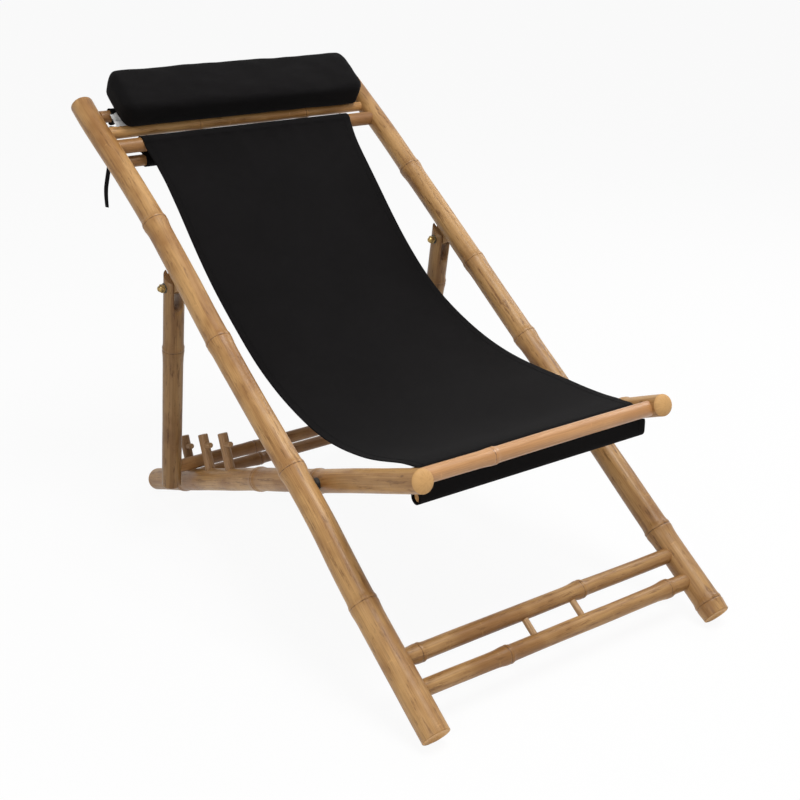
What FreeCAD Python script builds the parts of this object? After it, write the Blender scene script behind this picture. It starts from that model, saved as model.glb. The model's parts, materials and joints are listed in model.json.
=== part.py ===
import FreeCAD, Part
import math
import os

# A bamboo folding recliner. Sizes are millimetres and degrees.
# X runs across the chair, +Y to its rear, +Z up. Left is the -X side.
os.makedirs("parts", exist_ok=True)
Vector = FreeCAD.Vector

# Clearances
GLUE_FIT = 0.05          # radial, round a bar or peg that is glued in its socket
RUNNING_FIT = 0.08       # radial, round a pin that turns
SOCKET_END = 0.3         # behind the end of a bar in its socket
FACE_GAP = 0.3           # between faces that pass or rest on each other
CLOTH_GAP = 0.5          # between the cloth and what it goes round
CUT_OVER = 1.0           # how far a cut runs past the face it opens

# Back frame: two long poles that also stand on the floor in front
POLE_LENGTH = 1273.0
POLE_ANGLE = 34.37       # from the floor
POLE_SPREAD = 277.5      # from the middle to a pole's axis
POLE_FOOT_RADIUS = 22.0
POLE_TOP_RADIUS = 20.5
POLE_BOLT_DEPTH = 26.0   # of the hinge bolt in a pole
POLE_END_BORE = 11.0     # hollow of the culm, seen at its top end
POLE_END_BORE_DEPTH = 14.0
FLOOR_LAND = 1.5         # height worn off the lowest edge of each foot
HEEL_LAND = 0.5          # height worn off the rounded rear end of each rail

# Seat frame: two rails that lie on the floor at the rear
HINGE_GAP = 10.5         # between a rail's side and the pole's at the back hinge
RAIL_RADIUS_REAR = 20.5
RAIL_RADIUS_FRONT = 17.3
RAIL_DOME = 9.0          # height of the rounded front end
RAIL_HEEL_DOME = 14.0    # height of the rounded rear end
RAIL_LENGTH = 932.0
HINGE_ON_POLE = 423.5    # from the foot, along the pole
HINGE_ON_RAIL = 671.0    # from the rear end, along the rail

# Crossbars of the back frame, placed along the poles from the feet
BAR_SEAT = 13.0          # length of a crossbar inside the culm beside it
FOOT_BAR_RADIUS = 13.0
FOOT_BAR_LOWER_AT = 70.0
FOOT_BAR_UPPER_AT = 121.0
SPINDLE_RADIUS = 5.2
SPINDLE_HALF_PITCH = 47.5
SPINDLE_SEAT = 7.0
SLAT_BELOW_TOP = 113.0   # from the top of the poles
SLAT_RADIUS = 13.5
SLAT_SPLIT = 3.0         # the split face lies this far behind the slat's axis
FRONT_ROD_BELOW_TOP = 77.0
FRONT_ROD_RADIUS_LEFT = 9.2
FRONT_ROD_RADIUS_RIGHT = 7.2
HEAD_BAR_BELOW_TOP = 34.0
HEAD_BAR_RADIUS = 10.5
# Nodes of each crossbar, from its middle
FOOT_BAR_LOWER_NODES = [-109.0, 218.0]
FOOT_BAR_UPPER_NODES = [-238.0, 68.0]
FRONT_ROD_NODES = [-93.0, 130.0]
HEAD_BAR_NODES = [-120.0, 90.0]

# Crossbars of the seat frame
SEAT_BAR_RADIUS = 12.0
SEAT_BAR_BEHIND_FRONT = 13.0  # from the front ends of the rails
INNER_BAR_RADIUS = 10.0
INNER_BAR_BEHIND_FRONT = 48.0
SEAT_BARS_LIFT = 4.5
REAR_BAR_RADIUS = 13.0
REAR_BAR_AT = 95.0       # from the rear ends of the rails
SEAT_BAR_NODES = [-97.0]
INNER_BAR_NODES = [60.0]
REAR_BAR_NODES = [-53.0, 140.0]

# Recline pegs on the rails
PEG_COUNT = 3
PEG_FIRST_AT = 169.0
PEG_PITCH = 83.0
PEG_RADIUS = 8.75
PEG_TOP = 82.5           # from the rail's axis
PEG_SEAT = 14.0
HOOK_RADIUS = 5.0
HOOK_HEIGHT = 62.0       # from the rail's axis
HOOK_REACH = 15.0        # past the peg's front

# Prop: two legs hinged under the poles, joined by a bar that lies in the pegs
PROP_HINGE_AT = 870.7    # along the pole
LEG_RADIUS = 18.0
LEG_FOOT_RADIUS = 17.0
LEG_BELOW = 395.0        # from the hinge to the lower end
LEG_ABOVE = 42.0         # before the top is cut
LEG_TOP_GAP = 0.5        # between the pole and the leg's cut top
PROP_BAR_RADIUS = 12.5
PROP_BAR_AT_RAIL = 200.0
PROP_SWELL_ROOM = 0.9    # the bar lies on a swelling of the rail
PROP_BAR_NODES = [-110.0, 95.0]
SLOT_WIDTH = 15.8
SLOT_STRAIGHT = 31.0     # below the hinge, before the slot's round bottom
TONGUE_THICKNESS = 15.0
TONGUE_FRONT = 23.0      # from the hinge, towards the foot
TONGUE_REAR = 16.0
TONGUE_NOSE = 12.5
TONGUE_SHOULDER = 26.0   # below the pole's axis
TONGUE_SINK = 9.0        # into the pole

# Bolts, washers and cap nuts
HINGE_BOLT_RADIUS = 5.0
PROP_BOLT_RADIUS = 4.0
WASHER_RADIUS = 8.5
WASHER_THICKNESS = 1.5
SPOT_FACE_RADIUS = 9.5
SPOT_FACE_DEPTH = 0.8
SPACER_RADIUS = 9.0
BOLT_END_ROOM = 1.0      # between a bolt's end and the bottom of its cap nut
NUT_SIDES = 6
NUT_FLATS = 13.0
NUT_HEIGHT = 6.0
NUT_DOME_RADIUS = 5.6
NUT_BORE_DEPTH = 8.0
BOLT_HEAD_RADIUS = 6.8
BOLT_HEAD_HEIGHT = 3.6

# Bamboo joints
NODE_SWELL = 1.3
NODE_HALF_LENGTH = 9.0
THIN_NODE_SWELL = 0.9
THIN_NODE_HALF_LENGTH = 6.0
END_CHAMFER = 1.0
# Nodes of each long culm, from its foot or rear end
POLE_NODES_LEFT = [215.0, 457.0, 714.0, 978.0]
POLE_NODES_RIGHT = [22.0, 167.0, 370.0, 590.0, 772.0, 1019.0]
RAIL_NODES_LEFT = [132.0, 445.0, 646.0, 850.0]
RAIL_NODES_RIGHT = [138.0, 410.0, 610.0, 850.0]
LEG_NODES_LEFT = [75.0, 277.0]
LEG_NODES_RIGHT = [82.0, 305.0]

# Sling and its rods
CLOTH = 2.4              # thickness of the hemmed canvas
SLING_SIDE_GAP = 4.8     # between the sling's edge and the rail beside it
TOP_ROD_RADIUS = 10.0
TOP_ROD_OUT = 26.0       # past the sling's edges
TOP_POCKET_BELOW = 10.0  # from the slat's axis, along the poles
BOTTOM_ROD_RADIUS = 8.0
BOTTOM_ROD_IN = 1.0      # its left end lies this far inside the pocket
BOTTOM_ROD_OUT = 2.0     # its right end stands this far out of the pocket
BOTTOM_POCKET_OUT = 22.0  # the pocket's right end runs this far under the rail
BOTTOM_POCKET_DROP = 35.0  # from the inner seat bar
HANG_OUT = 10.0          # the free cloth is wider on each side than between the rails
# Where the cloth meets and leaves the bars, from +Y towards +Z
SLAT_WRAP_START = -90.0  # from the poles' direction
SLAT_WRAP_END = 116.0    # from the poles' direction
INNER_WRAP_END = 180.0
INNER_WRAP_START = 80.0
# How far the free cloth sags below the straight line between the bars, at shares of it
HANG_SHARES = [0.118, 0.277, 0.401, 0.553, 0.700, 0.841, 0.976]
HANG_SAGS = [50.0, 104.3, 132.3, 142.7, 126.6, 83.0, 18.8]
CLOTH_STEPS = 3          # points on each rim for each point of the path

# Head pillow, its ties and its blank label
PILLOW_SIDE_GAP = 9.0    # between the pillow's end and the pole beside it
PILLOW_BELOW_BAR = 53.0  # along the poles, from the head bar
PILLOW_ABOVE_BAR = 51.0
PILLOW_FRONT = 66.0      # above the plane of the poles
PILLOW_ROUND = 22.0
TIE_IN = 5.0             # from the pillow's end to the middle of a tie
TIE_WIDTH = 14.0
TIE_THICKNESS = 1.6
KNOT_RADIUS = 6.5
TAPE_RADIUS = 3.0
LABEL_WIDTH = 34.0
LABEL_LENGTH = 37.0
LABEL_THICKNESS = 0.8
LABEL_OUT = 10.0         # past the pillow's end
LABEL_BELOW_BAR = 45.0

ALONG_X = Vector(1, 0, 0)
COS_POLE = math.cos(math.radians(POLE_ANGLE))
SIN_POLE = math.sin(math.radians(POLE_ANGLE))
POLE_DIRECTION = Vector(0, COS_POLE, SIN_POLE)
POLE_NORMAL = Vector(0, -SIN_POLE, COS_POLE)
FOOT_AXIS_HEIGHT = POLE_FOOT_RADIUS * COS_POLE - FLOOR_LAND
SLAT_AT = POLE_LENGTH - SLAT_BELOW_TOP
FRONT_ROD_AT = POLE_LENGTH - FRONT_ROD_BELOW_TOP
HEAD_BAR_AT = POLE_LENGTH - HEAD_BAR_BELOW_TOP
SEAT_BAR_AT = RAIL_LENGTH - SEAT_BAR_BEHIND_FRONT
INNER_BAR_AT = RAIL_LENGTH - INNER_BAR_BEHIND_FRONT


def on_pole(along, above=0.0, across=0.0):
    """A point placed by its distance along a pole and above the plane of the poles."""
    start = Vector(across, 0, FOOT_AXIS_HEIGHT)
    return start + POLE_DIRECTION * along + POLE_NORMAL * above


def dome_radius(rim, height):
    """The radius of a rounded end, from its rim's radius and its height."""
    return (rim * rim + height * height) / (2 * height)


# The rails slope so that their rounded rear ends stand on the floor
HINGE = on_pole(HINGE_ON_POLE)
HEEL_RADIUS = dome_radius(RAIL_RADIUS_REAR, RAIL_HEEL_DOME)
HEEL_TO_HINGE = HINGE_ON_RAIL + RAIL_HEEL_DOME - HEEL_RADIUS
SIN_RAIL = (HINGE.z - HEEL_RADIUS + HEEL_LAND) / HEEL_TO_HINGE
COS_RAIL = math.sqrt(1 - SIN_RAIL * SIN_RAIL)
RAIL_DIRECTION = Vector(0, -COS_RAIL, SIN_RAIL)
RAIL_NORMAL = Vector(0, SIN_RAIL, COS_RAIL)
RAIL_REAR = HINGE - RAIL_DIRECTION * HINGE_ON_RAIL


def on_rail(along, above=0.0, across=0.0):
    """A point placed by its distance along a rail from its rear end and above its axis."""
    start = RAIL_REAR + Vector(across, 0, 0)
    return start + RAIL_DIRECTION * along + RAIL_NORMAL * above


def pole_radius(along):
    """The pole tapers from its foot to its top."""
    return POLE_FOOT_RADIUS + (POLE_TOP_RADIUS - POLE_FOOT_RADIUS) * along / POLE_LENGTH


def rail_radius(along):
    """The rail tapers from its rear end to its front end."""
    return RAIL_RADIUS_REAR + (RAIL_RADIUS_FRONT - RAIL_RADIUS_REAR) * along / RAIL_LENGTH


RAIL_SPREAD = (POLE_SPREAD - pole_radius(HINGE_ON_POLE) - HINGE_GAP
               - rail_radius(HINGE_ON_RAIL))
SLING_WIDTH = 2 * (RAIL_SPREAD - rail_radius(INNER_BAR_AT) - SLING_SIDE_GAP)
PILLOW_HALF = POLE_SPREAD - pole_radius(HEAD_BAR_AT) - PILLOW_SIDE_GAP
TIE_AT = PILLOW_HALF - TIE_IN


def placed(shape, base, direction):
    """Turn a shape made along +Z so that it runs along a direction from a base point."""
    turned = FreeCAD.Rotation(Vector(0, 0, 1), direction)
    shape.Placement = FreeCAD.Placement(base, turned)
    return shape


def cylinder(radius, base, direction, length):
    return Part.makeCylinder(radius, length, base, direction)


def culm(length, radius_start, radius_end, nodes=(), thin=False, dome_start=0.0, dome_end=0.0):
    """A bamboo culm along +Z with a swelling at each node and flat or rounded ends."""
    swell = THIN_NODE_SWELL if thin else NODE_SWELL
    half = THIN_NODE_HALF_LENGTH if thin else NODE_HALF_LENGTH

    def radius(z):
        return radius_start + (radius_end - radius_start) * z / length

    def at(r, z):
        return Vector(r, 0, z)

    def dome(rim, crown_z, rim_z):
        """The arc from the rim of an end to its crown."""
        height = crown_z - rim_z
        round_radius = dome_radius(rim, abs(height))
        middle_r = rim / 2
        rise = math.sqrt(round_radius ** 2 - middle_r ** 2) - round_radius + abs(height)
        middle_z = rim_z + math.copysign(rise, height)
        return Part.Arc(at(0, crown_z), at(middle_r, middle_z), at(rim, rim_z)).toShape()

    edges = []
    if dome_start:
        edges.append(dome(radius_start, -dome_start, 0))
        last = at(radius_start, 0)
    else:
        corner = at(radius_start - END_CHAMFER, 0)
        last = at(radius(END_CHAMFER), END_CHAMFER)
        edges.append(Part.makeLine(at(0, 0), corner))
        edges.append(Part.makeLine(corner, last))
    for z in nodes:
        before = at(radius(z - half), z - half)
        after = at(radius(z + half), z + half)
        edges.append(Part.makeLine(last, before))
        edges.append(Part.Arc(before, at(radius(z) + swell, z), after).toShape())
        last = after
    if dome_end:
        edges.append(Part.makeLine(last, at(radius_end, length)))
        edges.append(dome(radius_end, length + dome_end, length))
    else:
        rim = at(radius(length - END_CHAMFER), length - END_CHAMFER)
        corner = at(radius_end - END_CHAMFER, length)
        edges.append(Part.makeLine(last, rim))
        edges.append(Part.makeLine(rim, corner))
        edges.append(Part.makeLine(corner, at(0, length)))
    edges.append(Part.makeLine(at(0, length + dome_end), at(0, -dome_start)))
    face = Part.Face(Part.Wire(Part.__sortEdges__(edges)))
    return face.revolve(Vector(0, 0, 0), Vector(0, 0, 1), 360)


def box_in(base, along, normal, length, across, height):
    """A block from a corner: length along one direction, across +X, height along the normal."""
    first = Part.makePolygon([
        base, base + along * length, base + along * length + normal * height,
        base + normal * height, base])
    return Part.Face(first).extrude(ALONG_X * across)


def prism(points, across):
    """A solid from a closed outline in a side view, drawn out along +X."""
    return Part.Face(Part.makePolygon(points + points[:1])).extrude(ALONG_X * across)


# Crossbars

def crossbar(centre, half_span, radius_left, radius_right, nodes=(), thin=False):
    """A culm from left to right. The nodes are counted from the middle of the bar."""
    shape = culm(2 * half_span, radius_left, radius_right,
                 [half_span + place for place in nodes], thin)
    return placed(shape, centre - ALONG_X * half_span, ALONG_X)


def socket(centre, half_span, radius_left, radius_right=None):
    """What a crossbar's sockets take away from the culms at its two ends."""
    left, right = radius_left + GLUE_FIT, (radius_right or radius_left) + GLUE_FIT
    length = 2 * (half_span + SOCKET_END)
    base = centre - ALONG_X * (half_span + SOCKET_END)
    if left == right:
        return Part.makeCylinder(left, length, base, ALONG_X)
    return Part.makeCone(left, right, length, base, ALONG_X)


def split_slat(centre, half_span, radius, split):
    """A half culm with its round side to the front and its split face to the back."""
    whole = Part.makeCylinder(radius, 2 * half_span, centre - ALONG_X * half_span, ALONG_X)
    corner = centre - ALONG_X * half_span - POLE_DIRECTION * 2 * radius - POLE_NORMAL * split
    back = box_in(corner, POLE_DIRECTION, POLE_NORMAL * -1, 4 * radius, 2 * half_span, 2 * radius)
    return whole.cut(back)


def pole_bar_half(along):
    """Half the length of a bar between the poles, its ends in their sockets."""
    return POLE_SPREAD - pole_radius(along) + BAR_SEAT


def rail_bar_half(along):
    """Half the length of a bar between the rails, its ends in their sockets."""
    return RAIL_SPREAD - rail_radius(along) + BAR_SEAT


FOOT_BAR_LOWER = on_pole(FOOT_BAR_LOWER_AT)
FOOT_BAR_UPPER = on_pole(FOOT_BAR_UPPER_AT)
SLAT = on_pole(SLAT_AT)
FRONT_ROD = on_pole(FRONT_ROD_AT)
HEAD_BAR = on_pole(HEAD_BAR_AT)
SEAT_BAR = on_rail(SEAT_BAR_AT, SEAT_BARS_LIFT)
INNER_BAR = on_rail(INNER_BAR_AT, SEAT_BARS_LIFT)
REAR_BAR = on_rail(REAR_BAR_AT)


def spindle(side):
    """One of the two turned sticks between the lower crossbars."""
    start = FOOT_BAR_LOWER_AT + FOOT_BAR_RADIUS - SPINDLE_SEAT
    length = FOOT_BAR_UPPER_AT - FOOT_BAR_RADIUS + SPINDLE_SEAT - start
    base = on_pole(start, 0, side * SPINDLE_HALF_PITCH)
    return cylinder(SPINDLE_RADIUS, base, POLE_DIRECTION, length)


def spindle_socket(side):
    start = FOOT_BAR_LOWER_AT + FOOT_BAR_RADIUS - SPINDLE_SEAT - SOCKET_END
    length = FOOT_BAR_UPPER_AT - FOOT_BAR_RADIUS + SPINDLE_SEAT + SOCKET_END - start
    base = on_pole(start, 0, side * SPINDLE_HALF_PITCH)
    return cylinder(SPINDLE_RADIUS + GLUE_FIT, base, POLE_DIRECTION, length)


# Prop hinge and bar, worked out from the poles and the rails

PROP_POLE_RADIUS = pole_radius(PROP_HINGE_AT)
PROP_HINGE_DROP = PROP_POLE_RADIUS + LEG_TOP_GAP + LEG_RADIUS
PROP_HINGE = on_pole(PROP_HINGE_AT, -PROP_HINGE_DROP)
PROP_BAR_LIFT = rail_radius(PROP_BAR_AT_RAIL) + PROP_SWELL_ROOM + PROP_BAR_RADIUS
PROP_BAR = on_rail(PROP_BAR_AT_RAIL, PROP_BAR_LIFT)
LEG_UP = (PROP_HINGE - PROP_BAR).normalize()
LEG_FRONT = Vector(0, -LEG_UP.z, LEG_UP.y)
PROP_BAR_HALF = POLE_SPREAD - LEG_FOOT_RADIUS + BAR_SEAT
HINGE_BOLT_OUTER = POLE_SPREAD - pole_radius(HINGE_ON_POLE) + POLE_BOLT_DEPTH


def tongue_outline():
    """Side view of the wooden tongue, from its top in the pole down round the bolt."""
    top = -PROP_POLE_RADIUS + TONGUE_SINK

    def at(along, above):
        return on_pole(PROP_HINGE_AT + along, above)

    corners = [
        at(TONGUE_NOSE, -PROP_HINGE_DROP), at(TONGUE_REAR, -TONGUE_SHOULDER),
        at(TONGUE_REAR, top), at(-TONGUE_FRONT, top), at(-TONGUE_FRONT, -TONGUE_SHOULDER),
        at(-TONGUE_NOSE, -PROP_HINGE_DROP)]
    nose = Part.Arc(corners[-1], at(0, -PROP_HINGE_DROP - TONGUE_NOSE), corners[0])
    return Part.Wire([*Part.makePolygon(corners).Edges, nose.toShape()])


def tongue(side):
    """The wooden tongue under a pole that the leg's fork holds."""
    block = Part.Face(tongue_outline()).extrude(ALONG_X * TONGUE_THICKNESS)
    block.translate(ALONG_X * (side * POLE_SPREAD - TONGUE_THICKNESS / 2))
    return block.cut(bolt_hole(side, RUNNING_FIT))


def tongue_mortise(side):
    """The slot in a pole's underside, the tongue's sunk top with a clearance all round."""
    low = -PROP_POLE_RADIUS - CUT_OVER
    high = -PROP_POLE_RADIUS + TONGUE_SINK + GLUE_FIT
    start = PROP_HINGE_AT - TONGUE_FRONT - GLUE_FIT
    length = TONGUE_FRONT + TONGUE_REAR + 2 * GLUE_FIT
    width = TONGUE_THICKNESS + 2 * GLUE_FIT
    base = on_pole(start, low, side * POLE_SPREAD - width / 2)
    return box_in(base, POLE_DIRECTION, POLE_NORMAL, length, width, high - low)


def bolt_hole(side, clearance):
    base = PROP_HINGE + ALONG_X * (side * POLE_SPREAD - 2 * LEG_RADIUS)
    return cylinder(PROP_BOLT_RADIUS + clearance, base, ALONG_X, 4 * LEG_RADIUS)


# Long culms

PEG_BASE = rail_radius(PEG_FIRST_AT) - PEG_SEAT


def on_floor(shape):
    """Wear a small flat where a culm stands on the floor."""
    bounds = shape.BoundBox
    below = Part.makeBox(
        bounds.XLength + 2 * CUT_OVER, bounds.YLength + 2 * CUT_OVER, POLE_LENGTH,
        Vector(bounds.XMin - CUT_OVER, bounds.YMin - CUT_OVER, -POLE_LENGTH))
    return shape.cut(below)


def spot_face(centre, side, radius, reach):
    """A round flat cut into a culm's side, facing away from the culm's axis."""
    base = centre + ALONG_X * side * (radius - SPOT_FACE_DEPTH)
    return cylinder(SPOT_FACE_RADIUS, base, ALONG_X * side, reach)


def pole(side):
    """A long pole of the back frame with its sockets."""
    across = side * POLE_SPREAD
    nodes = POLE_NODES_LEFT if side < 0 else POLE_NODES_RIGHT
    shape = culm(POLE_LENGTH, POLE_FOOT_RADIUS, POLE_TOP_RADIUS, nodes)
    shape = on_floor(placed(shape, on_pole(0, 0, across), POLE_DIRECTION))
    bore = cylinder(POLE_END_BORE, on_pole(POLE_LENGTH - POLE_END_BORE_DEPTH, 0, across),
                    POLE_DIRECTION, POLE_LENGTH)
    bars = [
        socket(FOOT_BAR_LOWER, pole_bar_half(FOOT_BAR_LOWER_AT), FOOT_BAR_RADIUS),
        socket(FOOT_BAR_UPPER, pole_bar_half(FOOT_BAR_UPPER_AT), FOOT_BAR_RADIUS),
        socket(FRONT_ROD, pole_bar_half(FRONT_ROD_AT), FRONT_ROD_RADIUS_LEFT,
               FRONT_ROD_RADIUS_RIGHT),
        socket(HEAD_BAR, pole_bar_half(HEAD_BAR_AT), HEAD_BAR_RADIUS),
        split_slat(SLAT, pole_bar_half(SLAT_AT) + SOCKET_END, SLAT_RADIUS + GLUE_FIT,
                   SLAT_SPLIT + GLUE_FIT)]
    bolt = cylinder(HINGE_BOLT_RADIUS + GLUE_FIT,
                    HINGE + ALONG_X * side * (HINGE_BOLT_OUTER + SOCKET_END),
                    ALONG_X * -side, POLE_SPREAD)
    return shape.cut([bore, bolt, tongue_mortise(side), *bars])


def rail(side):
    """A seat rail with its sockets for bars and pegs."""
    nodes = RAIL_NODES_LEFT if side < 0 else RAIL_NODES_RIGHT
    shape = culm(RAIL_LENGTH, RAIL_RADIUS_REAR, RAIL_RADIUS_FRONT, nodes,
                 dome_start=RAIL_HEEL_DOME, dome_end=RAIL_DOME)
    shape = on_floor(placed(shape, on_rail(0, 0, side * RAIL_SPREAD), RAIL_DIRECTION))
    radius = rail_radius(HINGE_ON_RAIL)
    centre = HINGE + ALONG_X * side * RAIL_SPREAD
    cuts = [
        socket(SEAT_BAR, rail_bar_half(SEAT_BAR_AT), SEAT_BAR_RADIUS),
        socket(INNER_BAR, rail_bar_half(INNER_BAR_AT), INNER_BAR_RADIUS),
        socket(REAR_BAR, rail_bar_half(REAR_BAR_AT), REAR_BAR_RADIUS),
        cylinder(HINGE_BOLT_RADIUS + RUNNING_FIT, centre - ALONG_X * 2 * radius, ALONG_X,
                 4 * radius),
        spot_face(centre, 1, radius, radius), spot_face(centre, -1, radius, radius)]
    for index in range(PEG_COUNT):
        start = PEG_BASE - SOCKET_END
        base = on_rail(PEG_FIRST_AT + PEG_PITCH * index, start, side * RAIL_SPREAD)
        cuts.append(cylinder(PEG_RADIUS + GLUE_FIT, base, RAIL_NORMAL, PEG_TOP))
    return shape.cut(cuts)


def leg(side):
    """A prop leg: forked at the top round the tongue, and cut to pass under the pole."""
    across = side * POLE_SPREAD
    low = PROP_HINGE - LEG_UP * LEG_BELOW + ALONG_X * across
    nodes = LEG_NODES_LEFT if side < 0 else LEG_NODES_RIGHT
    shape = placed(culm(LEG_BELOW + LEG_ABOVE, LEG_FOOT_RADIUS, LEG_RADIUS, nodes), low, LEG_UP)
    hinge = PROP_HINGE + ALONG_X * across
    wide = 2 * LEG_ABOVE
    corner = on_pole(PROP_HINGE_AT - wide, -PROP_POLE_RADIUS - LEG_TOP_GAP, across - LEG_ABOVE)
    top = box_in(corner, POLE_DIRECTION, POLE_NORMAL, 2 * wide, wide, wide)
    wedge = prism([hinge, hinge + POLE_NORMAL * wide, hinge + (POLE_NORMAL + LEG_FRONT) * wide,
                   hinge + LEG_FRONT * wide], wide)
    wedge.translate(ALONG_X * -LEG_ABOVE)
    nose = cylinder(LEG_RADIUS, hinge - ALONG_X * LEG_ABOVE, ALONG_X, wide)
    base = hinge - LEG_UP * SLOT_STRAIGHT - LEG_FRONT * LEG_ABOVE
    slot = box_in(base - ALONG_X * SLOT_WIDTH / 2, LEG_FRONT, LEG_UP, wide, SLOT_WIDTH,
                  SLOT_STRAIGHT + wide)
    slot_end = cylinder(SLOT_WIDTH / 2, base, LEG_FRONT, wide)
    bar = socket(PROP_BAR, PROP_BAR_HALF, PROP_BAR_RADIUS)
    faces = [spot_face(hinge, way, LEG_RADIUS, LEG_RADIUS) for way in (1, -1)]
    return shape.cut([top, wedge.cut(nose), slot, slot_end, bar, bolt_hole(side, GLUE_FIT), *faces])


# Pegs


def peg(side, index):
    """An upright recline peg with a through hole for its hook dowel."""
    at = PEG_FIRST_AT + PEG_PITCH * index
    shape = placed(culm(PEG_TOP - PEG_BASE, PEG_RADIUS, PEG_RADIUS),
                   on_rail(at, PEG_BASE, side * RAIL_SPREAD), RAIL_NORMAL)
    base = on_rail(at - 2 * PEG_RADIUS, HOOK_HEIGHT, side * RAIL_SPREAD)
    return shape.cut(cylinder(HOOK_RADIUS + GLUE_FIT, base, RAIL_DIRECTION, 4 * PEG_RADIUS))


def hook(side, index):
    """The dowel through a peg that keeps the prop bar down in its notch."""
    at = PEG_FIRST_AT + PEG_PITCH * index - PEG_RADIUS
    base = on_rail(at, HOOK_HEIGHT, side * RAIL_SPREAD)
    shape = cylinder(HOOK_RADIUS, base, RAIL_DIRECTION, 2 * PEG_RADIUS + HOOK_REACH)
    rims = [edge for edge in shape.Edges if isinstance(edge.Curve, Part.Circle)]
    return shape.makeChamfer(END_CHAMFER, rims)


# Fasteners

def ring(outer, inner, base, direction, length):
    return cylinder(outer, base, direction, length).cut(
        cylinder(inner, base, direction, length))


def cap_nut(base, way, bore):
    """A domed hexagon nut on the end of a bolt, seated at base and pointing along way."""
    turn = 2 * math.pi / NUT_SIDES
    corner = NUT_FLATS / 2 / math.cos(turn / 2)
    points = [base + Vector(0, corner * math.cos(turn * n), corner * math.sin(turn * n))
              for n in range(NUT_SIDES)]
    hexagon = Part.Face(Part.makePolygon(points + points[:1])).extrude(way * NUT_HEIGHT)
    dome = Part.makeSphere(NUT_DOME_RADIUS, base + way * NUT_HEIGHT)
    neck = cylinder(NUT_DOME_RADIUS, base, way, NUT_HEIGHT)
    behind = cylinder(NUT_FLATS, base + way * NUT_HEIGHT, way * -1, NUT_FLATS)
    hole = cylinder(bore + GLUE_FIT, base - way * CUT_OVER, way, NUT_BORE_DEPTH + CUT_OVER)
    return hexagon.fuse([dome.cut(behind), neck]).removeSplitter().cut(hole)


CHEEK = LEG_RADIUS - SPOT_FACE_DEPTH + GLUE_FIT
CHEEK_OUTSIDE = CHEEK + WASHER_THICKNESS + GLUE_FIT


def prop_bolt(side):
    """The bolt through fork and tongue, its round head on the +X side."""
    centre = PROP_HINGE + ALONG_X * side * POLE_SPREAD
    length = 2 * CHEEK_OUTSIDE + NUT_BORE_DEPTH - BOLT_END_ROOM
    shank = cylinder(PROP_BOLT_RADIUS, centre + ALONG_X * CHEEK_OUTSIDE, ALONG_X * -1, length)
    head = cylinder(BOLT_HEAD_RADIUS, centre + ALONG_X * CHEEK_OUTSIDE, ALONG_X,
                    BOLT_HEAD_HEIGHT)
    crown = [edge for edge in head.Edges
             if isinstance(edge.Curve, Part.Circle)
             and edge.Curve.Center.x > centre.x + CHEEK_OUTSIDE + BOLT_HEAD_HEIGHT / 2]
    return head.makeFillet(BOLT_HEAD_HEIGHT - END_CHAMFER, crown).fuse(shank).removeSplitter()


def prop_nut(side):
    base = PROP_HINGE + ALONG_X * (side * POLE_SPREAD - CHEEK_OUTSIDE - GLUE_FIT)
    return cap_nut(base, ALONG_X * -1, PROP_BOLT_RADIUS)


def prop_washer(side, way):
    base = PROP_HINGE + ALONG_X * (side * POLE_SPREAD + way * CHEEK)
    return ring(WASHER_RADIUS, PROP_BOLT_RADIUS + GLUE_FIT, base, ALONG_X * way,
                WASHER_THICKNESS)


RAIL_FLAT = rail_radius(HINGE_ON_RAIL) - SPOT_FACE_DEPTH
RAIL_INSIDE = RAIL_SPREAD - RAIL_FLAT - FACE_GAP
RAIL_OUTSIDE = RAIL_SPREAD + RAIL_FLAT + FACE_GAP
POLE_INSIDE = POLE_SPREAD - pole_radius(HINGE_ON_POLE) - GLUE_FIT


def hinge_bolt(side):
    """The bolt fixed in a pole on which a rail turns."""
    inner = RAIL_INSIDE - WASHER_THICKNESS - GLUE_FIT - NUT_BORE_DEPTH + BOLT_END_ROOM
    return cylinder(HINGE_BOLT_RADIUS, HINGE + ALONG_X * side * inner, ALONG_X * side,
                    HINGE_BOLT_OUTER - inner)


def hinge_spacer(side):
    return ring(SPACER_RADIUS, HINGE_BOLT_RADIUS + GLUE_FIT,
                HINGE + ALONG_X * side * RAIL_OUTSIDE, ALONG_X * side,
                POLE_INSIDE - RAIL_OUTSIDE)


def hinge_washer(side):
    return ring(WASHER_RADIUS, HINGE_BOLT_RADIUS + GLUE_FIT,
                HINGE + ALONG_X * side * RAIL_INSIDE, ALONG_X * -side, WASHER_THICKNESS)


def hinge_nut(side):
    base = HINGE + ALONG_X * side * (RAIL_INSIDE - WASHER_THICKNESS - GLUE_FIT)
    return cap_nut(base, ALONG_X * -side, HINGE_BOLT_RADIUS)


# Sling

TOP_POCKET_RADIUS = TOP_ROD_RADIUS + CLOTH_GAP + CLOTH / 2
BOTTOM_POCKET_RADIUS = BOTTOM_ROD_RADIUS + CLOTH_GAP + CLOTH / 2
SLAT_WRAP = SLAT_RADIUS + CLOTH_GAP + CLOTH / 2
INNER_WRAP = INNER_BAR_RADIUS + THIN_NODE_SWELL + CLOTH_GAP + CLOTH / 2
TOP_ROD = on_pole(SLAT_AT - TOP_POCKET_BELOW, -SLAT_WRAP - TOP_POCKET_RADIUS)
BOTTOM_ROD = INNER_BAR + Vector(0, BOTTOM_POCKET_RADIUS - INNER_WRAP, -BOTTOM_POCKET_DROP)


def in_side_view(centre, radius, angle):
    """A point on a circle in the side view, its angle counted from +Y towards +Z."""
    turn = math.radians(angle)
    return centre + Vector(0, radius * math.cos(turn), radius * math.sin(turn))


def round_bar(angle):
    """The way the cloth runs at an angle round a bar, its angle growing."""
    turn = math.radians(angle)
    return Vector(0, -math.sin(turn), math.cos(turn))


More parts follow.
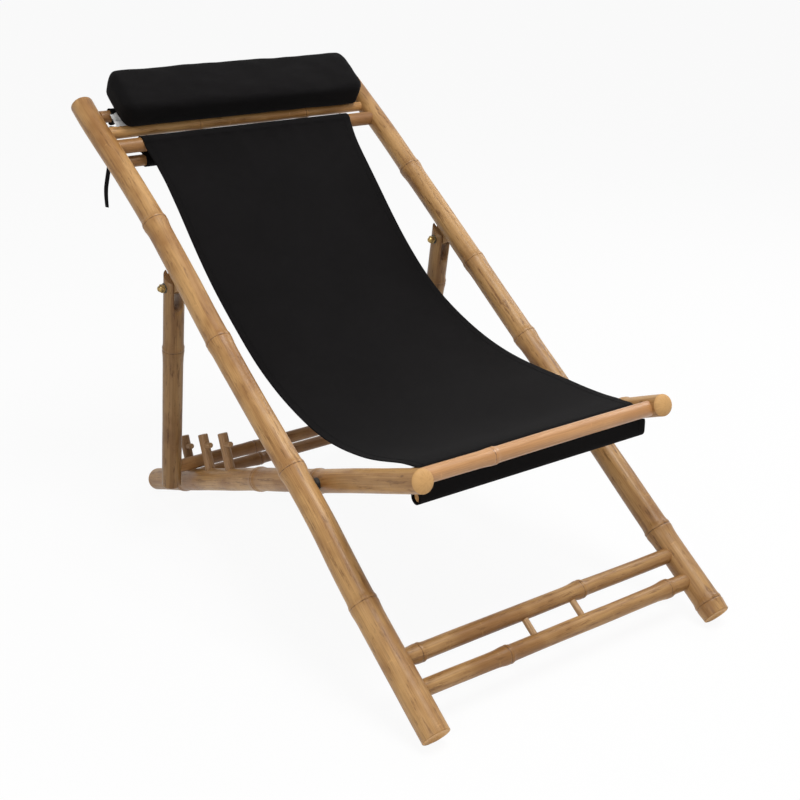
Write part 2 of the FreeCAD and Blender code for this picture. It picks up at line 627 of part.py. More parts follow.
def band(centre, radius, first, last):
    """A curved strip of cloth round a bar, in the side view, between two angles."""
    rims = []
    for rim in (radius - CLOTH / 2, radius + CLOTH / 2):
        points = [in_side_view(centre, rim, first + (last - first) * part / 2)
                  for part in range(3)]
        rims.append(Part.Arc(*points).toShape())
    ends = [Part.makeLine(rims[0].valueAt(edge), rims[1].valueAt(edge))
            for edge in (rims[0].FirstParameter, rims[0].LastParameter)]
    wire = Part.Wire(Part.__sortEdges__([*rims, *ends]))
    return Part.Face(wire).extrude(ALONG_X * SLING_WIDTH)


def strip(start, end):
    """A flat strip of cloth in the side view."""
    way = (end - start).normalize()
    side = Vector(0, -way.z, way.y) * (CLOTH / 2)
    return prism([start - side, end - side, end + side, start + side], SLING_WIDTH)


def hanging_cloth(points):
    """The part of the sling that hangs freely, a smooth strip through the given points."""
    line = Part.BSplineCurve()
    line.interpolate(Points=points, InitialTangent=round_bar(SLAT_LAST),
                     FinalTangent=round_bar(INNER_WRAP_START))
    rims = []
    count = CLOTH_STEPS * len(points)
    for side in (-CLOTH / 2, CLOTH / 2):
        rim = []
        for step in range(count + 1):
            place = line.FirstParameter
            place += (line.LastParameter - line.FirstParameter) * step / count
            way = line.tangent(place)[0]
            rim.append(line.value(place) + Vector(0, -way.z, way.y) * side)
        curve = Part.BSplineCurve()
        curve.interpolate(rim)
        rims.append(curve)
    ends = [Part.makeLine(rims[0].StartPoint, rims[1].StartPoint),
            Part.makeLine(rims[0].EndPoint, rims[1].EndPoint)]
    wire = Part.Wire(Part.__sortEdges__([rims[0].toShape(), rims[1].toShape(), *ends]))
    cloth = Part.Face(wire).extrude(ALONG_X * (SLING_WIDTH + 2 * HANG_OUT))
    cloth.translate(ALONG_X * -HANG_OUT)
    return cloth


SLAT_FIRST = POLE_ANGLE + SLAT_WRAP_START
SLAT_LAST = POLE_ANGLE + SLAT_WRAP_END


def sling_path():
    """Points down the middle of the free cloth, from the slat to the inner seat bar."""
    top = in_side_view(SLAT, SLAT_WRAP, SLAT_LAST)
    low = in_side_view(INNER_BAR, INNER_WRAP, INNER_WRAP_START)
    line = low - top
    way = Vector(line).normalize()
    down = Vector(0, -way.z, way.y)
    hang = [top + line * share + down * sag for share, sag in zip(HANG_SHARES, HANG_SAGS)]
    return [top, *hang, low]


def sling():
    """The canvas: a pocket behind the slat, the free seat, and a pocket under the seat bar."""
    top_line = in_side_view(SLAT, SLAT_WRAP, SLAT_FIRST)
    pocket_line = in_side_view(TOP_ROD, TOP_POCKET_RADIUS, POLE_ANGLE + 90)
    bottom_line = in_side_view(INNER_BAR, INNER_WRAP, INNER_WRAP_END)
    low_line = in_side_view(BOTTOM_ROD, BOTTOM_POCKET_RADIUS, INNER_WRAP_END)
    pieces = [
        strip(top_line, pocket_line), band(SLAT, SLAT_WRAP, SLAT_FIRST, SLAT_LAST),
        hanging_cloth(sling_path()), band(INNER_BAR, INNER_WRAP, INNER_WRAP_END, INNER_WRAP_START),
        strip(bottom_line, low_line),
        ring(TOP_POCKET_RADIUS + CLOTH / 2, TOP_POCKET_RADIUS - CLOTH / 2, TOP_ROD, ALONG_X,
             SLING_WIDTH),
        ring(BOTTOM_POCKET_RADIUS + CLOTH / 2, BOTTOM_POCKET_RADIUS - CLOTH / 2, BOTTOM_ROD,
             ALONG_X, SLING_WIDTH + BOTTOM_POCKET_OUT)]
    whole = pieces[0].fuse(pieces[1:]).removeSplitter()
    whole.translate(ALONG_X * (-SLING_WIDTH / 2))
    return whole


def top_rod():
    half = SLING_WIDTH / 2 + TOP_ROD_OUT
    shape = culm(2 * half, TOP_ROD_RADIUS, TOP_ROD_RADIUS)
    return placed(shape, TOP_ROD - ALONG_X * half, ALONG_X)


def bottom_rod():
    left = SLING_WIDTH / 2 - BOTTOM_ROD_IN
    right = SLING_WIDTH / 2 + BOTTOM_POCKET_OUT + BOTTOM_ROD_OUT
    shape = culm(left + right, BOTTOM_ROD_RADIUS, BOTTOM_ROD_RADIUS)
    return placed(shape, BOTTOM_ROD - ALONG_X * left, ALONG_X)


# Pillow, ties and label

TIE_INNER = HEAD_BAR_RADIUS + CLOTH_GAP
TIE_OUTER = TIE_INNER + TIE_THICKNESS
PILLOW_BACK = HEAD_BAR_RADIUS + THIN_NODE_SWELL + FACE_GAP


def pillow():
    """The stuffed head pillow that lies on the head bar and the front rod."""
    base = on_pole(HEAD_BAR_AT - PILLOW_BELOW_BAR, PILLOW_BACK, -PILLOW_HALF)
    block = box_in(base, POLE_DIRECTION, POLE_NORMAL, PILLOW_BELOW_BAR + PILLOW_ABOVE_BAR,
                   2 * PILLOW_HALF, PILLOW_FRONT - PILLOW_BACK)
    return block.makeFillet(PILLOW_ROUND, block.Edges)


def knot_centre(side):
    return on_pole(HEAD_BAR_AT, -TIE_OUTER - KNOT_RADIUS / 2, side * TIE_AT)


def tie(side):
    """The cloth tape tied round the head bar, with its knot at the back."""
    base = HEAD_BAR + ALONG_X * (side * TIE_AT - TIE_WIDTH / 2)
    loop = ring(TIE_OUTER, TIE_INNER, base, ALONG_X, TIE_WIDTH)
    inside = cylinder(TIE_INNER, base, ALONG_X, TIE_WIDTH)
    return loop.fuse(Part.makeSphere(KNOT_RADIUS, knot_centre(side)).cut(inside))


def label():
    """The blank care label that shows beside the pillow's left end."""
    base = on_pole(HEAD_BAR_AT - LABEL_BELOW_BAR, PILLOW_BACK - FACE_GAP - LABEL_THICKNESS,
                   -PILLOW_HALF - LABEL_OUT)
    return box_in(base, POLE_DIRECTION, POLE_NORMAL, LABEL_LENGTH, LABEL_WIDTH, LABEL_THICKNESS)


# Route of the tape's loose end, from under the left knot, relative to the knot's middle
TAPE_STEPS = [
    Vector(0, 0, -KNOT_RADIUS - FACE_GAP), Vector(-3.5, -2.0, -35.0), Vector(-11.0, -7.0, -65.0),
    Vector(-21.0, -12.5, -94.0), Vector(-26.5, -10.5, -122.0), Vector(-24.5, -8.0, -149.0)]
TAPE_SHARE = 0.45        # of the shorter run that an arc takes up


def tape():
    """The loose end of the left tie: straight runs joined by tangent arcs."""
    points = [knot_centre(-1) + step for step in TAPE_STEPS]
    edges = []
    last = points[0]
    for before, here, after in zip(points, points[1:], points[2:]):
        back, on = (before - here), (after - here)
        reach = TAPE_SHARE * min(back.Length, on.Length)
        back.normalize()
        on.normalize()
        turn = math.pi - back.getAngle(on)
        radius = reach / math.tan(turn / 2)
        middle_way = (back + on).normalize()
        centre = here + middle_way * math.hypot(radius, reach)
        start, end = here + back * reach, here + on * reach
        edges.append(Part.makeLine(last, start))
        edges.append(Part.Arc(start, centre - middle_way * radius, end).toShape())
        print("tape arc radius", round(radius, 1))
        last = end
    edges.append(Part.makeLine(last, points[-1]))
    path = Part.Wire(edges)
    way = (points[1] - points[0]).normalize()
    section = Part.Wire(Part.makeCircle(TAPE_RADIUS, points[0], way))
    shape = path.makePipeShell([section], True, False)
    ratio = shape.Volume / (math.pi * TAPE_RADIUS ** 2 * path.Length)
    print("tape length", round(path.Length, 1), "volume over section times length",
          round(ratio, 4))
    return shape


def both(make):
    """Two like pieces, left and right, in one node."""
    return Part.makeCompound([make(-1), make(1)])


def pegs(make, side):
    return Part.makeCompound([make(side, index) for index in range(PEG_COUNT)])


def foot_bar(centre, along, nodes):
    shape = crossbar(centre, pole_bar_half(along), FOOT_BAR_RADIUS, FOOT_BAR_RADIUS, nodes)
    return shape.cut([spindle_socket(-1), spindle_socket(1)])


def pieces():
    """Every node of the chair by its name."""
    made = {
        "foot_bar_lower": foot_bar(FOOT_BAR_LOWER, FOOT_BAR_LOWER_AT, FOOT_BAR_LOWER_NODES),
        "foot_bar_upper": foot_bar(FOOT_BAR_UPPER, FOOT_BAR_UPPER_AT, FOOT_BAR_UPPER_NODES),
        "foot_bar_spindles": both(spindle),
        "head_bar": crossbar(HEAD_BAR, pole_bar_half(HEAD_BAR_AT), HEAD_BAR_RADIUS,
                             HEAD_BAR_RADIUS, HEAD_BAR_NODES, True),
        "sling_front_rod": crossbar(FRONT_ROD, pole_bar_half(FRONT_ROD_AT),
                                    FRONT_ROD_RADIUS_LEFT, FRONT_ROD_RADIUS_RIGHT,
                                    FRONT_ROD_NODES, True),
        "sling_slat": split_slat(SLAT, pole_bar_half(SLAT_AT), SLAT_RADIUS, SLAT_SPLIT),
        "seat_bar": crossbar(SEAT_BAR, rail_bar_half(SEAT_BAR_AT), SEAT_BAR_RADIUS,
                             SEAT_BAR_RADIUS, SEAT_BAR_NODES),
        "seat_inner_bar": crossbar(INNER_BAR, rail_bar_half(INNER_BAR_AT), INNER_BAR_RADIUS,
                                   INNER_BAR_RADIUS, INNER_BAR_NODES, True),
        "seat_rear_bar": crossbar(REAR_BAR, rail_bar_half(REAR_BAR_AT), REAR_BAR_RADIUS,
                                  REAR_BAR_RADIUS, REAR_BAR_NODES),
        "prop_bar": crossbar(PROP_BAR, PROP_BAR_HALF, PROP_BAR_RADIUS, PROP_BAR_RADIUS,
                             PROP_BAR_NODES, True),
        "prop_bolts": both(prop_bolt),
        "prop_cap_nuts": both(prop_nut),
        "prop_washers": Part.makeCompound([prop_washer(side, way)
                                           for side in (-1, 1) for way in (-1, 1)]),
        "hinge_bolts": both(hinge_bolt),
        "hinge_spacers": both(hinge_spacer),
        "hinge_washers": both(hinge_washer),
        "hinge_cap_nuts": both(hinge_nut),
        "sling": sling(),
        "sling_top_rod": top_rod(),
        "sling_bottom_rod": bottom_rod(),
        "head_pillow": pillow(),
        "pillow_care_label": label(),
        "pillow_tie_tail": tape(),
    }
    for side, name in ((-1, "left"), (1, "right")):
        made["back_pole_" + name] = pole(side)
        made["seat_rail_" + name] = rail(side)
        made["recline_pegs_" + name] = pegs(peg, side)
        made["peg_hooks_" + name] = pegs(hook, side)
        made["prop_leg_" + name] = leg(side)
        made["prop_tongue_" + name] = tongue(side)
        made["pillow_tie_" + name] = tie(side)
    return made


def main():
    made = pieces()
    bounds = Part.makeCompound(list(made.values())).optimalBoundingBox(False)
    shift = Vector(-bounds.Center.x, -bounds.Center.y, -bounds.ZMin)
    for name, shape in made.items():
        shape.translate(shift)
        shape.exportStep(os.path.join("parts", name + ".step"))
        good = shape.isValid() and all(solid.Volume > 0 for solid in shape.Solids)
        print(name, len(shape.Solids), "solids", round(shape.Volume / 1000, 2), "cm3",
              "" if good else "NOT VALID")
    print("size", [round(v, 1) for v in (bounds.XLength, bounds.YLength, bounds.ZLength)])
    for name, point in (("back hinge", HINGE), ("prop hinge", PROP_HINGE),
                        ("prop bar", PROP_BAR), ("top rod", TOP_ROD),
                        ("bottom rod", BOTTOM_ROD)):
        print(name, [round(v, 3) for v in point + shift])


main()
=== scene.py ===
import json
import math

import bmesh
import bpy
import numpy as np
from mathutils import Matrix, Vector, noise


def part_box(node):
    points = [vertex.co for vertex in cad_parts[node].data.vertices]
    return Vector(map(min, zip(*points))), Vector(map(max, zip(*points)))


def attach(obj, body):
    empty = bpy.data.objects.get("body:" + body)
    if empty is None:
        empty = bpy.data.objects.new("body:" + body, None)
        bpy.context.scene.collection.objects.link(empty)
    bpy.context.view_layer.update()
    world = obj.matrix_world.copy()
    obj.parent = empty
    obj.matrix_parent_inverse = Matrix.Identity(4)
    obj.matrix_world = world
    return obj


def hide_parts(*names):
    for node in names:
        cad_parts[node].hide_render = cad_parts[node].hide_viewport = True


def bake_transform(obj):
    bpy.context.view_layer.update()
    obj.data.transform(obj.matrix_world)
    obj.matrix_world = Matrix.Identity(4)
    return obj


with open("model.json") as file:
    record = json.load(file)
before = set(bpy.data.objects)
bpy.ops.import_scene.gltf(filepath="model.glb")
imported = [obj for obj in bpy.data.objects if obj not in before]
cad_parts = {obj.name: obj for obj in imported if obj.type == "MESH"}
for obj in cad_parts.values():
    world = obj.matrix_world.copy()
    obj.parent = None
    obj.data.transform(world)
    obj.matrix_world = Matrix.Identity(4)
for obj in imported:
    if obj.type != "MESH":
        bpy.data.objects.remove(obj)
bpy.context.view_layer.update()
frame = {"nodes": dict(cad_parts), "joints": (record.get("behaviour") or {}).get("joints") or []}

bl_info = {
    "name": "Bamboo folding recliner",
    "version": (1, 0, 0),
    "blender": (4, 5, 0),
    "location": "View3D > Sidebar > Recliner",
    "description": "Dresses a bamboo deck recliner with culms, canvas, pillow and fittings",
    "category": "Object",
}

HINGES = {joint["name"]: Vector(joint["pos_m"]) for joint in frame["joints"]}
BACK_HINGE, PROP_HINGE = HINGES["back_fold"], HINGES["prop_swing"]
MIDDLE = BACK_HINGE.x
POLE_ANGLE = math.radians(34.37)
RAIL_ANGLE = math.asin(0.353294)
POLE_WAY = Vector((0, math.cos(POLE_ANGLE), math.sin(POLE_ANGLE)))
POLE_OUT = Vector((0, -math.sin(POLE_ANGLE), math.cos(POLE_ANGLE)))
RAIL_WAY = Vector((0, -math.cos(RAIL_ANGLE), math.sin(RAIL_ANGLE)))
RAIL_OUT = Vector((0, math.sin(RAIL_ANGLE), math.cos(RAIL_ANGLE)))
ACROSS = Vector((1, 0, 0))
POLE_SPREAD = 0.2775
RAIL_SPREAD = 0.2273
SIDES = (("left", -1), ("right", 1))

# Places along the poles, from their feet
LOWER_FOOT_BAR, UPPER_FOOT_BAR = 0.070, 0.121
HINGE_ON_POLE = 0.4235
SLAT, THIN_ROD, HEAD_ROD = 1.160, 1.196, 1.239

# Places along the rails, from their rear ends
REAR_BAR, NOTCH, HINGE_ON_RAIL = 0.095, 0.2, 0.671
INNER_BAR, SEAT_BAR = 0.884, 0.919
SEAT_BAR_RISE = 0.0045

# The notch bar lies on the rails, a hair above them
RAIL_TOP, NOTCH_GAP, NOTCH_BAR_RADIUS = 0.0198, 0.0009, 0.0125
SOCKET_IN_POLE, SOCKET_IN_RAIL = 0.012, 0.010

# Radii of the members where the bars end in them
POLE_AT_BARS, POLE_AT_SLAT, LEG_AT_BAR = 0.0215, 0.0206, 0.017
RAIL_AT_FRONT, RAIL_AT_REAR = 0.0174, 0.0204


def on_pole(along, above=0.0, across=0.0):
    """A point by its distance along the poles and above their plane."""
    place = BACK_HINGE + POLE_WAY * (along - HINGE_ON_POLE) + POLE_OUT * above
    return place + ACROSS * across


def on_rail(along, above=0.0, across=0.0):
    """A point by its distance along the rails and above their plane."""
    place = BACK_HINGE + RAIL_WAY * (along - HINGE_ON_RAIL) + RAIL_OUT * above
    return place + ACROSS * across


PROP_BAR = on_rail(NOTCH, RAIL_TOP + NOTCH_GAP + NOTCH_BAR_RADIUS)
LEG_WAY = PROP_HINGE - PROP_BAR
LEG_WAY.x = 0
LEG_WAY.normalize()


# Values a user may change

class FrameSizes(bpy.types.PropertyGroup):
    pole_foot_radius: bpy.props.FloatProperty(
        name="Pole foot radius", description="Radius of a long pole at its foot",
        default=0.0218, unit="LENGTH")
    pole_top_radius: bpy.props.FloatProperty(
        name="Pole top radius", description="Radius of a long pole at its top",
        default=0.0199, unit="LENGTH")
    pole_bow: bpy.props.FloatProperty(
        name="Pole bow", description="How far the left pole bows towards the seat",
        default=0.0065, unit="LENGTH")
    node_swell: bpy.props.FloatProperty(
        name="Node swell", description="How far a pole stands out at a node",
        default=0.0017, unit="LENGTH")
    pale_skin: bpy.props.FloatVectorProperty(
        name="Pale skin", description="Lightest colour of the bamboo skin",
        subtype="COLOR", default=(0.54, 0.308, 0.118))
    dark_skin: bpy.props.FloatVectorProperty(
        name="Dark skin", description="Colour of the brown streaks in the skin",
        subtype="COLOR", default=(0.120, 0.046, 0.011))


class ClothSizes(bpy.types.PropertyGroup):
    canvas_thickness: bpy.props.FloatProperty(
        name="Canvas thickness", description="Thickness of the sling's canvas",
        default=0.0016, unit="LENGTH")
    thread_pitch: bpy.props.FloatProperty(
        name="Thread pitch", description="Distance between the canvas's threads",
        default=0.0009, unit="LENGTH")
    stitch_pitch: bpy.props.FloatProperty(
        name="Stitch pitch", description="Distance between two stitches of a hem",
        default=0.0045, unit="LENGTH")
    canvas_colour: bpy.props.FloatVectorProperty(
        name="Canvas colour", description="Colour of the canvas",
        subtype="COLOR", default=(0.0043, 0.0038, 0.0040))


class StageValues(bpy.types.PropertyGroup):
    key_watts: bpy.props.FloatProperty(
        name="Key light", description="Power of the large light above",
        default=62.0, unit="POWER")
    fill_watts: bpy.props.FloatProperty(
        name="Fill light", description="Power of each light at the sides",
        default=20.0, unit="POWER")
    floor_colour: bpy.props.FloatVectorProperty(
        name="Floor colour", description="Colour of the floor under the shadow",
        subtype="COLOR", default=(0.86, 0.86, 0.86))


# Node helpers

class Net:
    """Adds nodes to a tree and links them as it goes."""

    def __init__(self, tree):
        self.tree = tree

    def add(self, kind, outlet=0, values=None, **fields):
        node = self.tree.nodes.new(kind)
        for name, value in fields.items():
            setattr(node, name, value)
        self.fill(node, values or {})
        return node if outlet is None else node.outputs[outlet]

    def fill(self, node, values):
        for key, value in values.items():
            self.feed(node.inputs[key], value)

    def feed(self, socket, value):
        if isinstance(value, bpy.types.NodeSocket):
            self.tree.links.new(value, socket)
        else:
            socket.default_value = value

    def calc(self, operation, *values, clamp=False):
        return self.add("ShaderNodeMath", values=dict(enumerate(values)), operation=operation,
                        use_clamp=clamp)

    def plus(self, first, second):
        return self.calc("ADD", first, second)

    def times(self, first, second):
        return self.calc("MULTIPLY", first, second)

    def stretch(self, place, scales):
        return self.add("ShaderNodeVectorMath", values={0: place, 1: scales},
                        operation="MULTIPLY")

    def shaded(self, colour, share):
        return self.add("ShaderNodeVectorMath", values={0: colour, "Scale": share},
                        operation="SCALE")

    def blend(self, factor, first, second):
        return self.add("ShaderNodeMix", "Result", data_type="RGBA", values={
            "Factor": factor, "A": first, "B": second})

    def step(self, value, low, high, first=0.0, second=1.0):
        return self.add("ShaderNodeMapRange", interpolation_type="SMOOTHSTEP", values={
            "Value": value, "From Min": low, "From Max": high, "To Min": first,
            "To Max": second})

    def fog(self, place, scale, detail=2.0, rough=0.5, seed=0.0):
        return self.add("ShaderNodeTexNoise", "Fac", noise_dimensions="4D", values={
            "Vector": place, "Scale": scale, "Detail": detail, "Roughness": rough, "W": seed})

    def threads(self, place, around, along, detail, rough, seed):
        """Noise on a map in metres, with so many grains a metre around and along."""
        return self.fog(self.stretch(place, (around, along, 1.0)), 1.0, detail, rough, seed)

    def bump(self, height, strength, distance):
        return self.add("ShaderNodeBump", values={
            "Height": height, "Strength": strength, "Distance": distance})


def new_group(name, kind, inlets, outlets):
    """A node group with named sockets and its input and output nodes."""
    group = bpy.data.node_groups.new(name, kind)
    for title, socket, default in inlets:
        made = group.interface.new_socket(name=title, in_out="INPUT", socket_type=socket)
        if default is not None:
            made.default_value = default
    for title, socket in outlets:
        group.interface.new_socket(name=title, in_out="OUTPUT", socket_type=socket)
    net = Net(group)
    return group, net, net.add("NodeGroupInput", None), net.add("NodeGroupOutput", None)


def group_once(name, build):
    """A node group by its name, built when it is first asked for."""
    return bpy.data.node_groups.get(name) or build(name)


SURFACE = [("Color", "NodeSocketColor"), ("Roughness", "NodeSocketFloat"),
           ("Height", "NodeSocketFloat")]


def bamboo_grain(name):
    """Fibres, streaks, nodes and cut ends of a culm, from its own map."""
    group, net, given, out = new_group(
        name, "ShaderNodeTree",
        [("Place", "NodeSocketVector", None), ("Knot", "NodeSocketFloat", 0.0),
         ("Cut", "NodeSocketFloat", 0.0), ("Pale", "NodeSocketColor", (0.6, 0.4, 0.2, 1)),
         ("Mid", "NodeSocketColor", (0.4, 0.25, 0.1, 1)),
         ("Dark", "NodeSocketColor", (0.2, 0.1, 0.03, 1)),
         ("Streaks", "NodeSocketFloat", 0.5), ("Seed", "NodeSocketFloat", 0.0)], SURFACE)
    place, knot, cut, pale, mid, dark, streaks, seed = list(given.outputs)[:8]

    def noise_map(around, along, detail, rough, shift):
        return net.threads(place, around, along, detail, rough, net.plus(seed, shift))

    clouds = noise_map(16.0, 7.0, 3.0, 0.6, 0.0)
    bands = noise_map(60.0, 3.0, 3.0, 0.6, 7.0)
    fibres = noise_map(900.0, 12.0, 4.0, 0.7, 3.0)
    ticks = noise_map(170.0, 22.0, 5.0, 0.75, 11.0)
    scuffs = noise_map(45.0, 140.0, 4.0, 0.7, 19.0)
    pale_lines = noise_map(260.0, 5.0, 3.0, 0.6, 23.0)
    pores = noise_map(260.0, 260.0, 2.0, 0.5, 0.0)
    spots = net.add("ShaderNodeTexVoronoi", "Distance", voronoi_dimensions="4D", values={
        "Vector": net.stretch(place, (38.0, 17.0, 1.0)), "Scale": 1.0, "W": seed})

    bright, deep = net.shaded(pale, 1.25), net.shaded(dark, 0.42)
    tick = net.times(net.step(ticks, 0.535, 0.63), streaks)
    scar = net.times(net.step(knot, 0.45, 0.95), net.step(ticks, 0.40, 0.60, 0.25, 0.85))
    cut_face = net.blend(net.step(pores, 0.35, 0.85, 0.0, 0.35), net.shaded(bright, 0.95), mid)
    base = net.blend(net.step(clouds, 0.36, 0.58), mid, pale)
    for mask, colour in (
            (net.times(net.step(bands, 0.48, 0.66), 0.80), mid),
            (net.times(net.step(fibres, 0.40, 0.70), 0.42), dark),
            (tick, dark),
            (net.times(net.step(pale_lines, 0.62, 0.78), 0.35), bright),
            (net.times(net.step(scuffs, 0.60, 0.72), 0.40), bright),
            (net.times(net.step(spots, 0.10, 0.04), 0.6), dark),
            (net.times(net.step(knot, 0.02, 0.45), 0.35), mid),
            (scar, deep),
            (net.step(cut, 0.3, 0.7), cut_face)):
        base = net.blend(mask, base, colour)
    rough = net.plus(net.step(scuffs, 0.3, 0.8, 0.0, 0.16), net.step(fibres, 0.3, 0.8, 0.30, 0.46))
    height = net.plus(net.times(fibres, 0.35), net.times(bands, 0.5))
    net.fill(out, {"Color": base, "Roughness": net.plus(rough, net.times(cut, 0.25)),
                   "Height": net.calc("SUBTRACT", height, net.times(tick, 0.5))})
    return group


def once(build):
    """Lets a finish be made when its name is first asked for, and found after that."""
    def find(name, *values, **named):
        return bpy.data.materials.get(name) or build(name, *values, **named)
    return find


def new_finish(name):
    """A new material with its net and its shader."""
    made = bpy.data.materials.new(name)
    made.use_nodes = True
    return made, Net(made.node_tree), made.node_tree.nodes["Principled BSDF"]


@once
def bamboo(name, pale, mid, dark, streaks, seed, coat=0.05):
    """A culm's material: grain from the group, a thin coat of varnish."""
    made, net, shader = new_finish(name)
    grain = net.add("ShaderNodeGroup", None, node_tree=group_once("Bamboo grain", bamboo_grain))
    net.fill(grain, {
        "Place": net.add("ShaderNodeUVMap", uv_map="UVMap"),
        "Knot": net.add("ShaderNodeAttribute", "Fac", attribute_name="knot"),
        "Cut": net.add("ShaderNodeAttribute", "Fac", attribute_name="cut"),
        "Pale": (*pale, 1.0), "Mid": (*mid, 1.0), "Dark": (*dark, 1.0),
        "Streaks": streaks, "Seed": seed})
    net.fill(shader, {
        "Base Color": grain.outputs["Color"], "Roughness": grain.outputs["Roughness"],
        "Normal": net.bump(grain.outputs["Height"], 0.35, 0.0006),
        "Coat Weight": coat, "Coat Roughness": 0.32, "Specular IOR Level": 0.30})
    return made


def tone(colour, share):
    return tuple(value * share for value in colour)


def weave(name):
    """Plain weave of warp and weft from a map in metres."""
    group, net, given, out = new_group(
        name, "ShaderNodeTree",
        [("Place", "NodeSocketVector", None), ("Pitch", "NodeSocketFloat", 0.001),
         ("Colour", "NodeSocketColor", (0.02, 0.02, 0.02, 1)),
         ("Lint", "NodeSocketFloat", 0.5)], SURFACE)
    place = given.outputs["Place"]
    flat = net.add("ShaderNodeSeparateXYZ", None, values={"Vector": place})
    turn = net.calc("DIVIDE", math.pi, given.outputs["Pitch"])
    warp, weft = (net.calc("SINE", net.times(flat.outputs[axis], turn)) for axis in "XY")
    over = net.times(warp, weft)
    threads = net.calc("MAXIMUM", *(
        net.times(net.calc("ABSOLUTE", yarn), net.step(over, -top, top))
        for yarn, top in ((warp, 0.3), (weft, -0.3))))
    slubs = net.threads(place, 60.0, 900.0, 3.0, 0.6, 1.0)
    slubs_across = net.threads(place, 900.0, 60.0, 3.0, 0.6, 5.0)
    clouds = net.threads(place, 9.0, 9.0, 3.0, 0.55, 2.0)
    lint = net.threads(place, 420.0, 420.0, 4.0, 0.75, 4.0)
    # Partly painted shade, partly the cloth's own tone: the thread valleys are darker and the crowns
    # lighter, as light would fall on them; slubs and clouds give the yarn's uneven tone.
    thread_shade_and_tone = net.plus(net.step(threads, 0.0, 1.0, 0.80, 1.10),
                     net.step(slubs, 0.35, 0.70, -0.06, 0.10))
    thread_shade_and_tone = net.plus(thread_shade_and_tone, net.step(slubs_across, 0.35, 0.70, -0.06, 0.10))
    thread_shade_and_tone = net.plus(thread_shade_and_tone, net.step(clouds, 0.3, 0.7, -0.12, 0.14))
    fluff = net.times(net.step(lint, 0.66, 0.80), given.outputs["Lint"])
    colour = net.blend(net.times(fluff, 0.08), net.shaded(given.outputs["Colour"], thread_shade_and_tone),
                       (0.30, 0.29, 0.28, 1))
    height = net.plus(net.plus(threads, net.times(slubs, 0.4)), net.times(slubs_across, 0.4))
    net.fill(out, {"Color": colour, "Roughness": net.step(threads, 0.0, 1.0, 0.95, 0.78),
                   "Height": height})
    return group


@once
def cloth(name, colour, pitch, bump=0.35, lint=0.5, sheen=0.02):
    """Woven cloth with a little sheen."""
    made, net, shader = new_finish(name)
    threads = net.add("ShaderNodeGroup", None, node_tree=group_once("Plain weave", weave))
    net.fill(threads, {"Place": net.add("ShaderNodeUVMap", uv_map="UVMap"), "Pitch": pitch,
                       "Colour": (*colour, 1.0), "Lint": lint})
    net.fill(shader, {
        "Base Color": threads.outputs["Color"], "Roughness": threads.outputs["Roughness"],
        "Normal": net.bump(threads.outputs["Height"], bump, 0.0004),
        "Specular IOR Level": 0.045, "Sheen Weight": sheen, "Sheen Roughness": 0.6})
    return made


@once
def metal(name, colour, worn, rough, metallic=1.0):
    """Turned metal with tarnish in patches."""
    made, net, shader = new_finish(name)
    place = net.add("ShaderNodeTexCoord", "Object")
    patches = net.fog(place, 190.0, 4.0, 0.65)
    rings = net.fog(net.stretch(place, (900.0, 60.0, 60.0)), 1.0, 2.0, 0.5)
    net.fill(shader, {
        "Base Color": net.blend(net.step(patches, 0.40, 0.68), (*colour, 1.0), (*worn, 1.0)),
        "Roughness": net.plus(net.step(patches, 0.35, 0.7, rough, rough + 0.25),
                              net.times(rings, 0.1)),
        "Normal": net.bump(net.plus(patches, rings), 0.15, 0.0003), "Metallic": metallic})
    return made


@once
def dowel_wood(name, pale, dark, turn, seed=0.0):
    """Plain turned wood, whose grain runs along Z before it is turned."""
    made, net, shader = new_finish(name)
    place = net.add("ShaderNodeTexCoord", "Object")
    turned = net.add("ShaderNodeMapping", vector_type="POINT", values={
        "Vector": place, "Rotation": turn})
    fibre = net.fog(net.stretch(turned, (700.0, 700.0, 45.0)), 1.0, 4.0, 0.7, seed)
    cloud = net.fog(place, 26.0, 3.0, 0.6, seed)
    tint = net.blend(net.step(fibre, 0.35, 0.70), (*pale, 1.0), (*dark, 1.0))
    net.fill(shader, {
        "Base Color": net.blend(net.times(net.step(cloud, 0.45, 0.75), 0.5), tint, (*dark, 1.0)),
        "Roughness": net.step(fibre, 0.3, 0.8, 0.48, 0.70),
        "Normal": net.bump(fibre, 0.4, 0.0004)})
    return made


@once
def thread(name):
    """Twisted black sewing thread."""
    made, net, shader = new_finish(name)
    twist = net.fog(net.add("ShaderNodeTexCoord", "Object"), 2600.0, 2.0, 0.6)
    net.fill(shader, {
        "Base Color": net.blend(twist, (0.003, 0.003, 0.003, 1), (0.009, 0.0085, 0.009, 1)),
        "Roughness": net.step(twist, 0.3, 0.7, 0.70, 0.90), "Specular IOR Level": 0.08})
    return made


# Mesh helpers

def new_piece(name, data):
    shape = bpy.data.objects.new(name, data)
    bpy.context.scene.collection.objects.link(shape)
    return shape


def settle(shape):
    """Keep what a piece's modifiers make as its plain mesh."""
    bpy.context.view_layer.update()
    ready = shape.evaluated_get(bpy.context.evaluated_depsgraph_get())
    mesh = bpy.data.meshes.new_from_object(ready)
    shape.modifiers.clear()
    shape.data = mesh
    return shape


def thicken(shape, thickness, even=False):
    """Give a sheet its thickness, half on each side."""
    modifier = shape.modifiers.new("Thickness", "SOLIDIFY")
    modifier.thickness, modifier.offset, modifier.use_even_offset = thickness, 0.0, even
    return settle(shape)


def axes_at(base, aside, out, way):
    """The matrix that takes X, Y and Z to three ways from a base."""
    return Matrix.Translation(base) @ Matrix((aside, out, way)).transposed().to_4x4()


def grid_faces(rows, columns):
    """The faces of a net of points that were listed row by row."""
    return [(r * columns + c, r * columns + c + 1, (r + 1) * columns + c + 1, (r + 1) * columns + c)
            for r in range(rows - 1) for c in range(columns - 1)]


